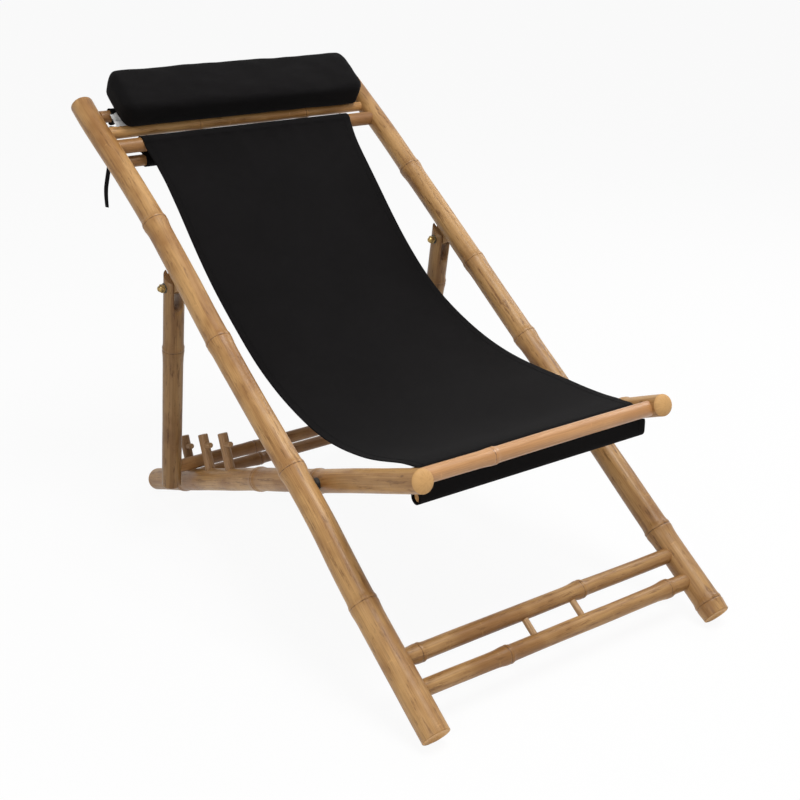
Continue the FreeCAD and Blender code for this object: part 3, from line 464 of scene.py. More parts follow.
def cloth_grid(name, verts, rows, columns, map_place, finish):
    """A smooth sheet of points listed row by row, with its map from row and column."""
    mesh = bpy.data.meshes.new(name)
    mesh.from_pydata(verts, [], grid_faces(rows, columns))
    layer = mesh.uv_layers.new(name="UVMap")
    for loop in mesh.loops:
        layer.data[loop.index].uv = map_place(*divmod(loop.vertex_index, columns))
    mesh.polygons.foreach_set("use_smooth", [True] * len(mesh.polygons))
    mesh.materials.append(finish)
    return new_piece(name, mesh)


def dress(shape, body, slot, *nodes):
    """Ride on a body and stand for CAD nodes; the slot is not used."""
    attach(shape, body)
    if nodes:
        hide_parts(*nodes)
    return shape


# Culms

STRAIGHT = ((0.0, 0.0), (1.0, 0.0))
ROW_PITCH, END_CLEAR, FIRST_ROW = 0.012, 0.0015, 0.0012
OUT_OF_ROUND, SURFACE_WANDER = 0.015, 0.0012

# A node swells the culm on both sides, has a ridge just above it and a scar in its middle
NODE_CLEAR = 0.015
NODE_ROWS = (14, 10, 7, 5, 3.6, 2.6, 1.8, 1.2, 0.8, 0.4)
SWELL_BELOW, SWELL_ABOVE = 0.013, 0.0075
RIDGE_AWAY, RIDGE_WIDTH = 0.0046, 0.0019
SCAR_WIDTH, SCAR_DEPTH, SCAR_SHADE = 0.0011, 0.0006, 0.011
DOME_SCAR, DOME_SCAR_WIDTH, DOME_SCAR_REACH = 0.0035, 0.0016, 0.006
NODE_KINK, KINK_REACH = 0.0010, 0.10
RING_SLANT, SLANT_CLEAR = 0.0045, 0.01


def along_table(table, place):
    """A value read from a table of (place, value) pairs, straight between them."""
    return float(np.interp(place, [row[0] for row in table], [row[1] for row in table]))


def eased(table, place, reach=0.03):
    """The same with its corners rounded off over a reach."""
    return sum(along_table(table, place + reach * step) for step in (-1, -0.5, 0, 0.5, 1)) / 5


def bell(away, width):
    return math.exp(-(away / width) ** 2)


def culm_end(kind, rim, at, sign):
    """The rows of an end, from its middle out to its rim: place, radius, node and cut marks."""
    if kind == "dome":
        height = 0.009 if sign > 0 else 0.014
        return [(at + sign * height * math.cos(turn), rim * math.sin(turn), 0.0, 1.0)
                for turn in np.linspace(0, math.pi / 2, 12)[:-1]] + [(at, rim, 0.25, 0.75)]
    if kind == "hollow":
        steps = ((0.014, 0.0, 0, 1), (0.014, 0.0095, 0, 1), (0.012, 0.0108, 0.3, 1),
                 (0.001, 0.011, 0.0, 1), (0, 0.0117, 0, 1), (0, rim - 0.0018, 0, 1),
                 (0.0002, rim - 0.0008, 0.3, 0.7), (0.0009, rim - 0.0001, 0.35, 0.2))
    else:
        steps = ((0.0025, 0.0, 0, 1), (0.0022, rim * 0.45, 0.15, 1), (0.0004, rim * 0.62, 0, 1),
                 (0, rim - 0.0022, 0, 1), (0.0001, rim - 0.0010, 0.55, 0.7),
                 (0.0009, rim - 0.0001, 0.45, 0.2))
    return [(at - sign * inside, *row) for inside, *row in steps]


def culm_rows(length, radii, nodes, ends, swell, bends):
    """Rows down a culm: place, radius, node mark, cut mark and how far the row leans aside."""
    places = set(np.round(np.linspace(END_CLEAR, length - END_CLEAR,
                                      max(int(length / ROW_PITCH), 6)), 5))
    for node in nodes:
        places = {z for z in places if abs(z - node) > NODE_CLEAR}
        places |= {round(node + side * step / 1000, 5) for step in NODE_ROWS for side in (-1, 1)}
        places.add(node)

    def radius(z):
        size = eased(radii, z)
        for index, node in enumerate(nodes):
            away = z - node
            uneven = 0.85 + 0.3 * (index % 2)
            size += swell * uneven * bell(away, SWELL_BELOW if away < 0 else SWELL_ABOVE)
            size += 0.30 * swell * bell(away - RIDGE_AWAY, RIDGE_WIDTH)
            size -= SCAR_DEPTH * bell(away, SCAR_WIDTH)
        return size

    def mark(z):
        marks = [max(bell(z - node, SCAR_WIDTH), 0.42 * bell(z - node, SCAR_SHADE))
                 for node in nodes]
        if ends[1] == "dome" and length - z < DOME_SCAR_REACH:
            marks.append(0.62 * bell(length - z - DOME_SCAR, DOME_SCAR_WIDTH))
        return max(marks, default=0.0)

    def lean(z):
        x, y = (eased(bend, z) for bend in bends)
        for index, node in enumerate(nodes):
            bend = NODE_KINK * ((index % 2) * 2 - 1) * max(0.0, 1 - abs(z - node) / KINK_REACH)
            x, y = x + bend * 0.4, y + bend
        return x, y

    rows = [(*row, *lean(max(row[0], 0))) for row in culm_end(ends[0], radii[0][1], 0.0, -1)]
    rows += [(z, radius(z), mark(z), 0.0, *lean(z)) for z in sorted(places)
             if FIRST_ROW <= z <= length - FIRST_ROW]
    last = culm_end(ends[1], radii[-1][1], length, 1)
    return rows + [(*row, *lean(min(row[0], length))) for row in reversed(last)]


def turned_culm(name):
    """Geometry nodes that turn rows of points into a closed culm with a map and marks."""
    group, net, given, out = new_group(
        name, "GeometryNodeTree",
        [("Geometry", "NodeSocketGeometry", None), ("Columns", "NodeSocketInt", 40),
         ("Out of round", "NodeSocketFloat", 0.02), ("Wander", "NodeSocketFloat", 0.0006),
         ("Map radius", "NodeSocketFloat", 0.02), ("Seed", "NodeSocketFloat", 0.0),
         ("Skin", "NodeSocketMaterial", None)],
        [("Geometry", "NodeSocketGeometry")])
    rows, columns, out_of_round, wander, map_radius, seed, skin = list(given.outputs)[:7]
    count = net.add("GeometryNodeAttributeDomainSize", "Point Count", values={"Geometry": rows})
    sheet = net.add("GeometryNodeMeshGrid", None, values={
        "Size X": 1.0, "Size Y": 1.0, "Vertices X": count, "Vertices Y": net.plus(columns, 1.0)})
    here = net.add("ShaderNodeSeparateXYZ", None, values={
        "Vector": net.add("GeometryNodeInputPosition")})
    share = net.plus(here.outputs["X"], 0.5)
    row = net.calc("ROUND", net.times(share, net.calc("SUBTRACT", count, 1.0)))
    turn = net.times(net.plus(here.outputs["Y"], 0.5), 2 * math.pi)
    cosine, sine = net.calc("COSINE", turn), net.calc("SINE", turn)

    def sample(value, kind):
        return net.add("GeometryNodeSampleIndex", "Value", data_type=kind, domain="POINT",
                       values={"Geometry": rows, "Value": value, "Index": row})

    def named(title, kind="FLOAT"):
        return net.add("GeometryNodeInputNamedAttribute", "Attribute", data_type=kind,
                       values={"Name": title})

    def apart(vector):
        return net.add("ShaderNodeSeparateXYZ", None, values={"Vector": vector}).outputs

    def joined(x, y, z):
        return net.add("ShaderNodeCombineXYZ", values={"X": x, "Y": y, "Z": z})

    def drift(scale, detail, shift, amount):
        fog = net.add("ShaderNodeTexNoise", "Fac", noise_dimensions="4D", values={
            "Vector": around, "Scale": scale, "Detail": detail, "W": net.plus(seed, shift)})
        return net.times(net.calc("SUBTRACT", fog, 0.5), amount)

    point = apart(sample(net.add("GeometryNodeInputPosition"), "FLOAT_VECTOR"))
    knot, cut = sample(named("knot"), "FLOAT"), sample(named("cut"), "FLOAT")
    lean = apart(sample(named("sway", "FLOAT_VECTOR"), "FLOAT_VECTOR"))
    radius, place = point["X"], point["Z"]
    oval = net.times(net.calc("COSINE", net.plus(net.times(turn, 2.0), seed)), out_of_round)
    around = joined(cosine, sine, net.times(place, 9.0))
    held = net.calc("SUBTRACT", 1.0, cut, clamp=True)
    size = net.plus(net.times(radius, net.plus(oval, 1.0)),
                    net.times(drift(1.1, 1.0, 0.0, wander), held))
    spot = joined(net.plus(net.times(size, cosine), lean["X"]),
                  net.plus(net.times(size, sine), lean["Y"]),
                  net.plus(place, drift(0.9, 2.0, 40.0, lean["Z"])))
    flat = joined(net.times(turn, map_radius), net.plus(place, net.times(radius, cut)), 0.0)

    made = sheet.outputs["Mesh"]
    for title, value, kind, domain in (
            ("flat_map", flat, "FLOAT_VECTOR", "POINT"), ("knot", knot, "FLOAT", "POINT"),
            ("cut", cut, "FLOAT", "POINT"), ("spot", spot, "FLOAT_VECTOR", "POINT"),
            ("UVMap", named("flat_map", "FLOAT_VECTOR"), "FLOAT2", "CORNER")):
        made = net.add("GeometryNodeStoreNamedAttribute", data_type=kind, domain=domain, values={
            "Geometry": made, "Name": title, "Value": value})
    for kind, values in (
            ("SetPosition", {"Position": named("spot", "FLOAT_VECTOR")}),
            ("MergeByDistance", {"Distance": 0.00002}), ("SetShadeSmooth", {}),
            ("RemoveAttribute", {"Name": "flat_map"}), ("RemoveAttribute", {"Name": "spot"}),
            ("RealizeInstances", {}), ("SetMaterial", {"Material": skin})):
        made = net.add("GeometryNode" + kind, values={"Geometry": made, **values})
    net.feed(out.inputs["Geometry"], made)
    return group


def run_nodes(shape, group, values):
    """Run a geometry tree on a mesh, with its inputs by name, and keep the result."""
    modifier = shape.modifiers.new(group.name, "NODES")
    modifier.node_group = group
    sockets = {item.name: item.identifier for item in group.interface.items_tree
               if item.in_out == "INPUT"}
    for name, value in values.items():
        modifier[sockets[name]] = value
    settle(shape)
    shape.data.name = shape.name
    return shape


def face_outwards(mesh):
    """Make a closed shell's faces point out."""
    shell = bmesh.new()
    shell.from_mesh(mesh)
    bmesh.ops.recalc_face_normals(shell, faces=shell.faces)
    if shell.calc_volume(signed=True) < 0:
        bmesh.ops.reverse_faces(shell, faces=shell.faces)
    shell.to_mesh(mesh)
    shell.free()


def culm(name, base, way, length, radii, nodes, skin, ends=("flat", "flat"), swell=0.0015,
         bends=(STRAIGHT, STRAIGHT), seed=1.0, columns=40, aside=ACROSS):
    """One bamboo culm from its base along a way; its bends lean to one side and out of it."""
    if not isinstance(radii[0], tuple):
        radii = ((0.0, radii[0]), (length, radii[1]))
    rows = culm_rows(length, radii, nodes, ends, swell, bends)
    mesh = bpy.data.meshes.new(name)
    mesh.from_pydata([(row[1], 0.0, row[0]) for row in rows],
                     [(i, i + 1) for i in range(len(rows) - 1)], [])
    for title, column in (("knot", 2), ("cut", 3)):
        mark = mesh.attributes.new(title, "FLOAT", "POINT")
        mark.data.foreach_set("value", [row[column] for row in rows])
    lean = mesh.attributes.new("sway", "FLOAT_VECTOR", "POINT")
    for mark, row in zip(lean.data, rows):
        inside = row[3] == 0 and SLANT_CLEAR < row[0] < length - SLANT_CLEAR
        mark.vector = (row[4], row[5], RING_SLANT if inside else 0.0)
    shape = run_nodes(new_piece(name, mesh), group_once("Turned culm", turned_culm), {
        "Columns": columns, "Out of round": OUT_OF_ROUND, "Wander": SURFACE_WANDER,
        "Map radius": (radii[0][1] + radii[-1][1]) / 2, "Seed": seed, "Skin": skin})
    shape.data.transform(axes_at(base, aside, way.cross(aside).normalized(), way))
    for vertex in shape.data.vertices:
        vertex.co.z = max(vertex.co.z, 0.0)
    face_outwards(shape.data)
    return shape


def skins():
    """The bamboo finishes of the chair."""
    sizes = bpy.context.scene.recliner_frame
    pale, dark = tuple(sizes.pale_skin), tuple(sizes.dark_skin)
    mid = (0.315, 0.150, 0.046)
    return {
        "pole_left": bamboo("Left pole skin", pale, mid, dark, 0.55, 3.1),
        "pole_right": bamboo("Right pole skin", tone(pale, 0.88), tone(mid, 0.85), dark, 0.75,
                             12.7),
        "rail": bamboo("Rail skin", tone(pale, 0.92), tone(mid, 0.95), dark, 0.55, 21.3),
        "leg": bamboo("Leg skin", tone(pale, 0.62), tone(mid, 0.62), tone(dark, 0.8), 0.8, 34.9),
        "foot_bar": bamboo("Foot bar skin", tone(pale, 0.86), tone(mid, 0.85), dark, 0.6, 45.2),
        "seat_bar": bamboo("Polished seat bar skin", (0.56, 0.29, 0.115), (0.45, 0.215, 0.075),
                           (0.24, 0.10, 0.03), 0.2, 53.8, 0.55),
        # Painted light: the thin rod's skin is lightened to make up for the pillow's shadow on it.
        "top_rod": bamboo("Thin rod skin", tone(pale, 1.15), tone(mid, 1.25), dark, 0.5, 61.4),
        "slat": bamboo("Split slat skin", (0.34, 0.175, 0.062), (0.24, 0.110, 0.036),
                       (0.12, 0.05, 0.015), 0.6, 83.9),
        # Painted shade: the bars and rods that lie in shade (head rod, top pocket rod, rear bar,
        # seat back bar, notch bar) get this darker skin.
        "shaded": bamboo("Dark bar skin", (0.34, 0.175, 0.065), (0.24, 0.11, 0.035),
                         (0.10, 0.04, 0.012), 0.5, 72.6),
    }


class MakePoles(bpy.types.Operator):
    """The two long poles of the back"""
    bl_idname = "recliner.poles"
    bl_label = "Long poles"

    def execute(self, context):
        sizes, skin = context.scene.recliner_frame, skins()
        foot, top, bow = sizes.pole_foot_radius, sizes.pole_top_radius, sizes.pole_bow
        nodes = {"left": (0.215, 0.457, 0.714, 0.978),
                 "right": (0.022, 0.167, 0.370, 0.590, 0.772, 1.019)}
        radii = {"left": ((0.0, foot), (0.30, foot - 0.0008), (0.45, top), (1.273, top)),
                 "right": ((0.0, foot), (0.25, foot - 0.0006), (0.45, top), (1.264, top - 0.0008))}
        left_bow = ((0.0, 0.0), (0.22, 0.0), (0.27, 0.25), (0.37, 1.0), (0.45, 0.8), (0.57, 0.4),
                    (0.66, 0.2), (0.76, 0.25), (0.885, 0.6), (0.985, 0.7), (1.09, 0.05),
                    (1.165, -0.8), (1.235, -1.5), (1.273, -1.6))
        bends = {"left": tuple((place, share * bow) for place, share in left_bow),
                 "right": ((0.0, 0.0), (0.3, 0.001), (0.7, -0.001), (1.1, 0.001), (1.264, -0.004))}
        for name, side in SIDES:
            shape = culm("pole_" + name, on_pole(0, 0, side * POLE_SPREAD), POLE_WAY,
                         radii[name][-1][0], radii[name], nodes[name], skin["pole_" + name],
                         ("flat", "hollow"), sizes.node_swell, (bends[name], STRAIGHT),
                         2.0 + side, 48)
            dress(shape, "back_frame", "bamboo", "back_pole_" + name)
        return {"FINISHED"}


class MakeRails(bpy.types.Operator):
    """The two rails of the seat"""
    bl_idname = "recliner.rails"
    bl_label = "Seat rails"

    def execute(self, context):
        skin = skins()["rail"]
        nodes = {"left": (0.132, 0.445, 0.646), "right": (0.138, 0.410, 0.610, 0.850)}
        lengths = {"left": 0.932, "right": 0.936}
        rises = {"left": STRAIGHT, "right": ((0.0, 0.0), (0.80, 0.0), (0.936, 0.006))}
        for name, side in SIDES:
            shape = culm("rail_" + name, on_rail(0, 0, side * RAIL_SPREAD), RAIL_WAY,
                         lengths[name], (0.0205, 0.0176), nodes[name], skin, ("dome", "dome"),
                         0.0017, (STRAIGHT, rises[name]), 5.0 + side, 44)
            dress(shape, "seat_frame", "bamboo", "seat_rail_" + name)
        return {"FINISHED"}


def bar(name, centre, half, radii, nodes, finish, body, slot, node, swell=0.0021, seed=1.0,
        bends=(STRAIGHT, STRAIGHT), columns=32):
    """A culm that lies across the chair, with its nodes measured from its middle."""
    shape = culm(name, centre - ACROSS * half, ACROSS, 2 * half, radii, [half + n for n in nodes],
                 finish, swell=swell, seed=seed, columns=columns, bends=bends, aside=POLE_WAY)
    return dress(shape, body, slot, node)


def pocket_bar(name, node, shift, radius, knot, finish, seed, body):
    """A rod in a pocket of the canvas, where its CAD rod is."""
    low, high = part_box(node)
    middle = (low + high) / 2
    rod = culm(name, Vector((low.x + shift, middle.y, middle.z)), ACROSS, high.x - low.x,
               (radius, radius), (knot,), finish, seed=seed, columns=28, swell=0.0003,
               aside=POLE_WAY)
    dress(rod, body, "thin_bamboo", node)


class MakeCrossbars(bpy.types.Operator):
    """The bars and rods that join the poles and the rails"""
    bl_idname = "recliner.crossbars"
    bl_label = "Crossbars"

    def execute(self, context):
        skin = skins()
        half = POLE_SPREAD - POLE_AT_BARS + SOCKET_IN_POLE
        bar("lower_foot_bar", on_pole(LOWER_FOOT_BAR), half, (0.013, 0.0135), (-0.109, 0.218),
            skin["foot_bar"], "back_frame", "bamboo", "foot_bar_lower", seed=3.0)
        bar("upper_foot_bar", on_pole(UPPER_FOOT_BAR), half, (0.0135, 0.0125), (-0.238, 0.068),
            skin["foot_bar"], "back_frame", "bamboo", "foot_bar_upper", seed=8.0)
        bar("thin_front_rod", on_pole(THIN_ROD), half, (0.0108, 0.0088), (-0.093, 0.130),
            skin["top_rod"], "back_frame", "thin_bamboo", "sling_front_rod", 0.0014, 11.0,
            (((0.0, 0.0), (0.18, 0.0025), (0.36, -0.001), (0.54, 0.0)), STRAIGHT))
        bar("head_rod", on_pole(HEAD_ROD), half, (0.0108, 0.0102), (-0.225, -0.120, 0.090),
            skin["shaded"], "back_frame", "thin_bamboo", "head_bar", 0.0008, 14.0)
        half = RAIL_SPREAD - RAIL_AT_FRONT + SOCKET_IN_RAIL
        bar("seat_front_bar", on_rail(SEAT_BAR, SEAT_BAR_RISE), half, (0.0121, 0.0119), (-0.097,),
            skin["seat_bar"], "seat_frame", "bamboo", "seat_bar", 0.0015, 17.0)
        bar("seat_back_bar", on_rail(INNER_BAR, SEAT_BAR_RISE), half, (0.010, 0.010), (0.060,),
            skin["shaded"], "seat_frame", "dark_bamboo", "seat_inner_bar", 0.0004, 19.0)
        half = RAIL_SPREAD - RAIL_AT_REAR + SOCKET_IN_RAIL
        bar("rear_bar", on_rail(REAR_BAR, -0.0015), half, (0.0115, 0.0112), (-0.053, 0.140),
            skin["shaded"], "seat_frame", "dark_bamboo", "seat_rear_bar", seed=23.0)
        half = POLE_SPREAD - LEG_AT_BAR + SOCKET_IN_POLE
        bar("notch_bar", Vector((MIDDLE, PROP_BAR.y, PROP_BAR.z)), half, (0.0118, 0.0115),
            (-0.110, 0.095), skin["shaded"], "prop", "dark_bamboo", "prop_bar", 0.0010, 29.0)
        pocket_bar("pocket_rod", "sling_bottom_rod", 0.0, 0.008, 0.21, skin["foot_bar"], 31.0,
                   "seat_frame")
        pocket_bar("top_pocket_rod", "sling_top_rod", -0.020, 0.010, 0.2, skin["shaded"], 37.0,
                   "back_frame")
        return {"FINISHED"}


class MakeSlat(bpy.types.Operator):
    """The split culm that the sling's top hangs from"""
    bl_idname = "recliner.slat"
    bl_label = "Sling slat"

    def execute(self, context):
        half = POLE_SPREAD - POLE_AT_SLAT + SOCKET_IN_POLE
        shape = culm("split_slat", on_pole(SLAT, 0, 0) - ACROSS * half, ACROSS, 2 * half,
                     (0.0135, 0.0135), (0.20, 0.36), skins()["slat"], seed=41.0, columns=40,
                     swell=0.0002, aside=POLE_WAY)
        shell = bmesh.new()
        shell.from_mesh(shape.data)
        cut = bmesh.ops.bisect_plane(
            shell, geom=shell.verts[:] + shell.edges[:] + shell.faces[:],
            plane_co=on_pole(SLAT, -0.003), plane_no=-POLE_OUT, clear_outer=True)
        rim = [edge for edge in cut["geom_cut"] if isinstance(edge, bmesh.types.BMEdge)]
        bmesh.ops.contextual_create(shell, geom=rim)
        shell.to_mesh(shape.data)
        shell.free()
        dress(shape, "back_frame", "bamboo", "sling_slat")
        return {"FINISHED"}


def cutter(make, axes):
    """A closed mesh for cutting, made by a function on an empty shell and then placed."""
    shell = bmesh.new()
    make(shell)
    mesh = bpy.data.meshes.new("cutter")
    shell.to_mesh(mesh)
    shell.free()
    mesh.transform(axes)
    return mesh


def block(low, high, axes):
    """A closed box between two corners in its own axes."""
    def make(shell):
        bmesh.ops.create_cube(shell, size=1.0)
        for vertex in shell.verts:
            vertex.co = Vector(low[i] + (high[i] - low[i]) * (vertex.co[i] + 0.5)
                               for i in range(3))
    return cutter(make, axes)


def rod(radius, length, axes):
    """A closed rod along its own Z."""
    return cutter(lambda shell: bmesh.ops.create_cone(
        shell, cap_ends=True, segments=32, radius1=radius, radius2=radius, depth=length), axes)


def carve(shape, cutters, cut_finish):
    """Cut closed meshes out of a piece, and give the new faces a finish."""
    for mesh in cutters:
        mesh.materials.append(cut_finish)
        tool = new_piece("cutter", mesh)
        modifier = shape.modifiers.new("cut", "BOOLEAN")
        modifier.operation, modifier.solver, modifier.object = "DIFFERENCE", "EXACT", tool
        modifier.material_mode = "TRANSFER"
        settle(shape)
        bpy.data.objects.remove(tool)


LEG_BELOW, LEG_LENGTH = 0.395, 0.437
FORK_HALF, FORK_FLOOR = 0.0079, -0.031

# The leg's top is cut along the pole's underside
FORK_ON_POLE = 0.8707
POLE_UNDERSIDE = -0.0395 + 0.0180 - 0.0014


class MakeLegs(bpy.types.Operator):
    """The two legs of the prop, forked at the top"""
    bl_idname = "recliner.legs"
    bl_label = "Prop legs"

    def execute(self, context):
        skin = skins()["leg"]
        nodes = {"left": (0.277,), "right": (0.082, 0.305)}
        front = Vector((0, LEG_WAY.z, -LEG_WAY.y))
        cut_wood = dowel_wood("Cut culm wood", (0.36, 0.20, 0.085), (0.17, 0.085, 0.032),
                              (0.0, 0.0, 0.0), 16.0)
        for name, side in SIDES:
            hinge = PROP_HINGE + ACROSS * side * POLE_SPREAD
            shape = culm("leg_" + name, hinge - LEG_WAY * LEG_BELOW, LEG_WAY, LEG_LENGTH,
                         (0.017, 0.018), nodes[name], skin, swell=0.0016, seed=51.0 + side,
                         columns=44)
            leg_axes = axes_at(hinge, ACROSS, front, LEG_WAY)
            pole_axes = axes_at(on_pole(FORK_ON_POLE, POLE_UNDERSIDE, side * POLE_SPREAD),
                                ACROSS, POLE_WAY, POLE_OUT)
            round_axes = leg_axes @ Matrix.Translation((0, 0, FORK_FLOOR)) \
                @ Matrix.Rotation(math.pi / 2, 4, "X")
            carve(shape, [
                block((-0.1, -0.2, 0.0), (0.1, 0.2, 0.2), pole_axes),
                block((-FORK_HALF, -0.1, FORK_FLOOR), (FORK_HALF, 0.1, 0.1), leg_axes),
                rod(FORK_HALF, 0.2, round_axes)], cut_wood)
            dress(shape, "prop", "bamboo", "prop_leg_" + name)
        return {"FINISHED"}


class MakeFittings(bpy.types.Operator):
    """Bolts, nuts, washers, pegs, dowels and tongues, finished as they stand"""
    bl_idname = "recliner.fittings"
    bl_label = "Fittings"

    def execute(self, context):
        brass = metal("Brass cap nut", (0.45, 0.31, 0.12), (0.11, 0.085, 0.045), 0.25)
        steel = metal("Dark steel", (0.16, 0.165, 0.16), (0.05, 0.055, 0.05), 0.38)
        # Painted shade: the hinge spacers are made near black to stand for the shadow gap between
        # each pole and rail.
        shadow_dark_steel = metal("Spacer painted as shadow", (0.030, 0.026, 0.022), (0.012, 0.010, 0.009),
                            0.55, 0.6)
        along_rail_out, along_dowel = RAIL_ANGLE, math.pi / 2 + RAIL_ANGLE
        along_pole = math.pi / 2 - POLE_ANGLE

        def wood(name, pale, dark, turn, seed):
            return dowel_wood(name, pale, dark, (turn, 0.0, 0.0), seed)

        peg = wood("Peg wood", (0.36, 0.20, 0.085), (0.20, 0.10, 0.038), along_rail_out, 0.0)
        dowel = wood("Dowel wood", (0.42, 0.25, 0.11), (0.22, 0.11, 0.045), along_dowel, 4.0)
        spindle = wood("Spindle wood", (0.46, 0.28, 0.13), (0.27, 0.145, 0.06), along_pole, 8.0)
        tongue = wood("Tongue wood", (0.40, 0.235, 0.10), (0.24, 0.125, 0.05), along_pole, 12.0)
        finishes = {
            "prop_cap_nuts": brass, "hinge_cap_nuts": brass, "prop_bolts": brass,
            "prop_washers": steel, "hinge_bolts": steel, "hinge_spacers": shadow_dark_steel,
            "hinge_washers": steel, "foot_bar_spindles": spindle}
        for side, _ in SIDES:
            finishes["recline_pegs_" + side] = peg
            finishes["peg_hooks_" + side] = dowel
            finishes["prop_tongue_" + side] = tongue
        for name, finish in finishes.items():
            shape = frame["nodes"][name]
            if not shape.material_slots:
                shape.data.materials.append(finish)
            for slot in shape.material_slots:
                slot.link = "OBJECT"
                slot.material = finish
        return {"FINISHED"}


# Canvas

SLING_WIDTH = 0.414
SLAT_WRAP, INNER_WRAP, TOP_WRAP, BOTTOM_WRAP = 0.0150, 0.0124, 0.0117, 0.0097
SAGS = ((0.118, 0.0500), (0.277, 0.1043), (0.401, 0.1323), (0.553, 0.1427), (0.700, 0.1266),
        (0.841, 0.0830), (0.976, 0.0188))
HANG = 2
STITCH_PROUD, STITCH_SHARE, THREAD_RADIUS = 0.0002, 0.62, 0.00042


def smooth_path(points, first_way, last_way, count):
    """Points along a smooth cubic line through the given points, with its end ways set."""
    points = np.array([list(p) for p in points], float)
    chords = np.linalg.norm(np.diff(points, axis=0), axis=1)
    place = np.concatenate([[0.0], np.cumsum(chords)])
    size = len(points)
    matrix, right = np.zeros((size, size)), np.zeros((size, points.shape[1]))
    matrix[0, 0] = matrix[-1, -1] = 1.0
    right[0], right[-1] = first_way, last_way
    for i in range(1, size - 1):
        before, after = chords[i - 1], chords[i]
        matrix[i, i - 1], matrix[i, i], matrix[i, i + 1] = after, 2 * (before + after), before
        right[i] = 3 * (after * (points[i] - points[i - 1]) / before
                        + before * (points[i + 1] - points[i]) / after)
    slopes = np.linalg.solve(matrix, right)
    made = []
    for t in np.linspace(0, place[-1], count):
        i = min(np.searchsorted(place, t, side="right") - 1, size - 2)
        h = chords[i]
        s = (t - place[i]) / h
        made.append((2 * s**3 - 3 * s**2 + 1) * points[i] + (s**3 - 2 * s**2 + s) * h * slopes[i]
                    + (3 * s**2 - 2 * s**3) * points[i + 1] + (s**3 - s**2) * h * slopes[i + 1])
    return np.array(made)


def arc(centre, radius, first, last, count):
    """Points round a centre in the side view, between two angles in degrees."""
    turns = np.radians(np.linspace(first, last, count))
    return np.stack([centre.y + radius * np.cos(turns), centre.z + radius * np.sin(turns)], axis=1)


def sling_line():
    """The canvas's middle line in the side view, with each point's stretch and share of the hang."""
    slope = math.degrees(POLE_ANGLE)
    slat, inner = on_pole(SLAT), on_rail(INNER_BAR, SEAT_BAR_RISE)
    top_rod, bottom_rod = (sum(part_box(node), Vector()) / 2
                           for node in ("sling_top_rod", "sling_bottom_rod"))
    tuck = [arc(top_rod, TOP_WRAP - 0.0008 * (1 - i / 5), slope - 290 + 8 * i,
                slope - 290 + 8 * i, 1) for i in range(5)]
    start, finish = arc(slat, SLAT_WRAP, slope + 116, 0, 1)[0], arc(inner, INNER_WRAP, 80, 0, 1)[0]
    chord = finish - start
    way = chord / np.linalg.norm(chord)
    down = np.array([-way[1], way[0]])
    points = [start, *(start + chord * share + down * sag for share, sag in SAGS), finish]
    turn, last = math.radians(slope + 116), math.radians(80)
    hang = smooth_path(points, (-math.sin(turn), math.cos(turn)),
                       (-math.sin(last), math.cos(last)), 150)
    over_bar = arc(inner, INNER_WRAP, 88, 180, 12)
    fall = np.linspace(over_bar[-1], arc(bottom_rod, BOTTOM_WRAP, 180, 0, 1)[0], 8)[1:-1]
    pocket = [arc(bottom_rod, BOTTOM_WRAP - 0.0012 * min(max((turn - 500) / 40, 0), 1), turn, 0, 1)
              for turn in np.linspace(180, 566, 40)]
    parts = [np.concatenate([*tuck, arc(top_rod, TOP_WRAP, slope - 250, slope + 90, 30)]),
             arc(slat, SLAT_WRAP, slope - 88, slope + 112, 26), hang, over_bar, fall,
             np.concatenate(pocket)]
    line, kind, free = [], [], []
    for index, part in enumerate(parts):
        for step, point in enumerate(part):
            line.append(point)
            kind.append(index)
            free.append(step / (len(part) - 1) if index == HANG else float(index > HANG))
    return np.array(line), kind, free


# Down the hang: how far each edge is lifted, and the canvas's half width on each side
LEFT_LIFT = ((0.0, 0.0), (0.06, 0.002), (0.40, 0.001), (0.45, -0.002), (0.51, -0.007),
             (0.58, -0.009), (0.65, -0.011), (0.735, -0.016), (0.785, -0.016), (0.84, -0.010),
             (0.88, -0.003), (0.92, 0.004), (0.95, 0.007), (0.975, 0.006), (1.0, 0.0))
RIGHT_LIFT = ((0.0, 0.0), (0.40, 0.0), (0.52, 0.005), (0.61, 0.009), (0.66, 0.0115),
              (0.72, 0.0135), (0.79, 0.015), (0.87, 0.016), (0.93, 0.0135), (0.975, 0.008),
              (1.0, 0.0))
LEFT_HALF = ((0.0, 0.2225), (0.012, 0.2215), (0.04, 0.2150), (0.09, 0.2105), (0.16, 0.2095),
             (0.45, 0.2100), (0.60, 0.2115), (0.88, 0.2110), (0.94, 0.2090), (1.0, 0.2085))
RIGHT_HALF = ((0.0, 0.2080), (0.05, 0.2055), (0.45, 0.2045), (0.75, 0.2120), (0.92, 0.2120),
              (0.97, 0.2085), (1.0, 0.2075))


def sling_edges(kind, free, height):
    """The half widths, left and right, and how far each edge is lifted."""
    left, right = eased(LEFT_HALF, free, 0.01), eased(RIGHT_HALF, free, 0.01)
    if kind > HANG:
        spare = min(max((0.0225 - height) / 0.004 + 0.5, 0.0), 1.0) if kind == 4 else kind > 4
        return 0.2075, 0.2075 + 0.0215 * spare, 0.0, 0.0
    if kind < HANG:
        return 0.2225 if kind else 0.2150, right, 0.0, 0.0
    ends = min(1.0, free / 0.03, (1 - free) / 0.03)
    return left, right, eased(LEFT_LIFT, free) * ends, eased(RIGHT_LIFT, free) * ends


def way_at(line, row):
    """The canvas's way down the side view at a row."""
    before, after = line[max(row - 1, 0)], line[min(row + 1, len(line) - 1)]
    return (after - before) / max(np.linalg.norm(after - before), 1e-9)


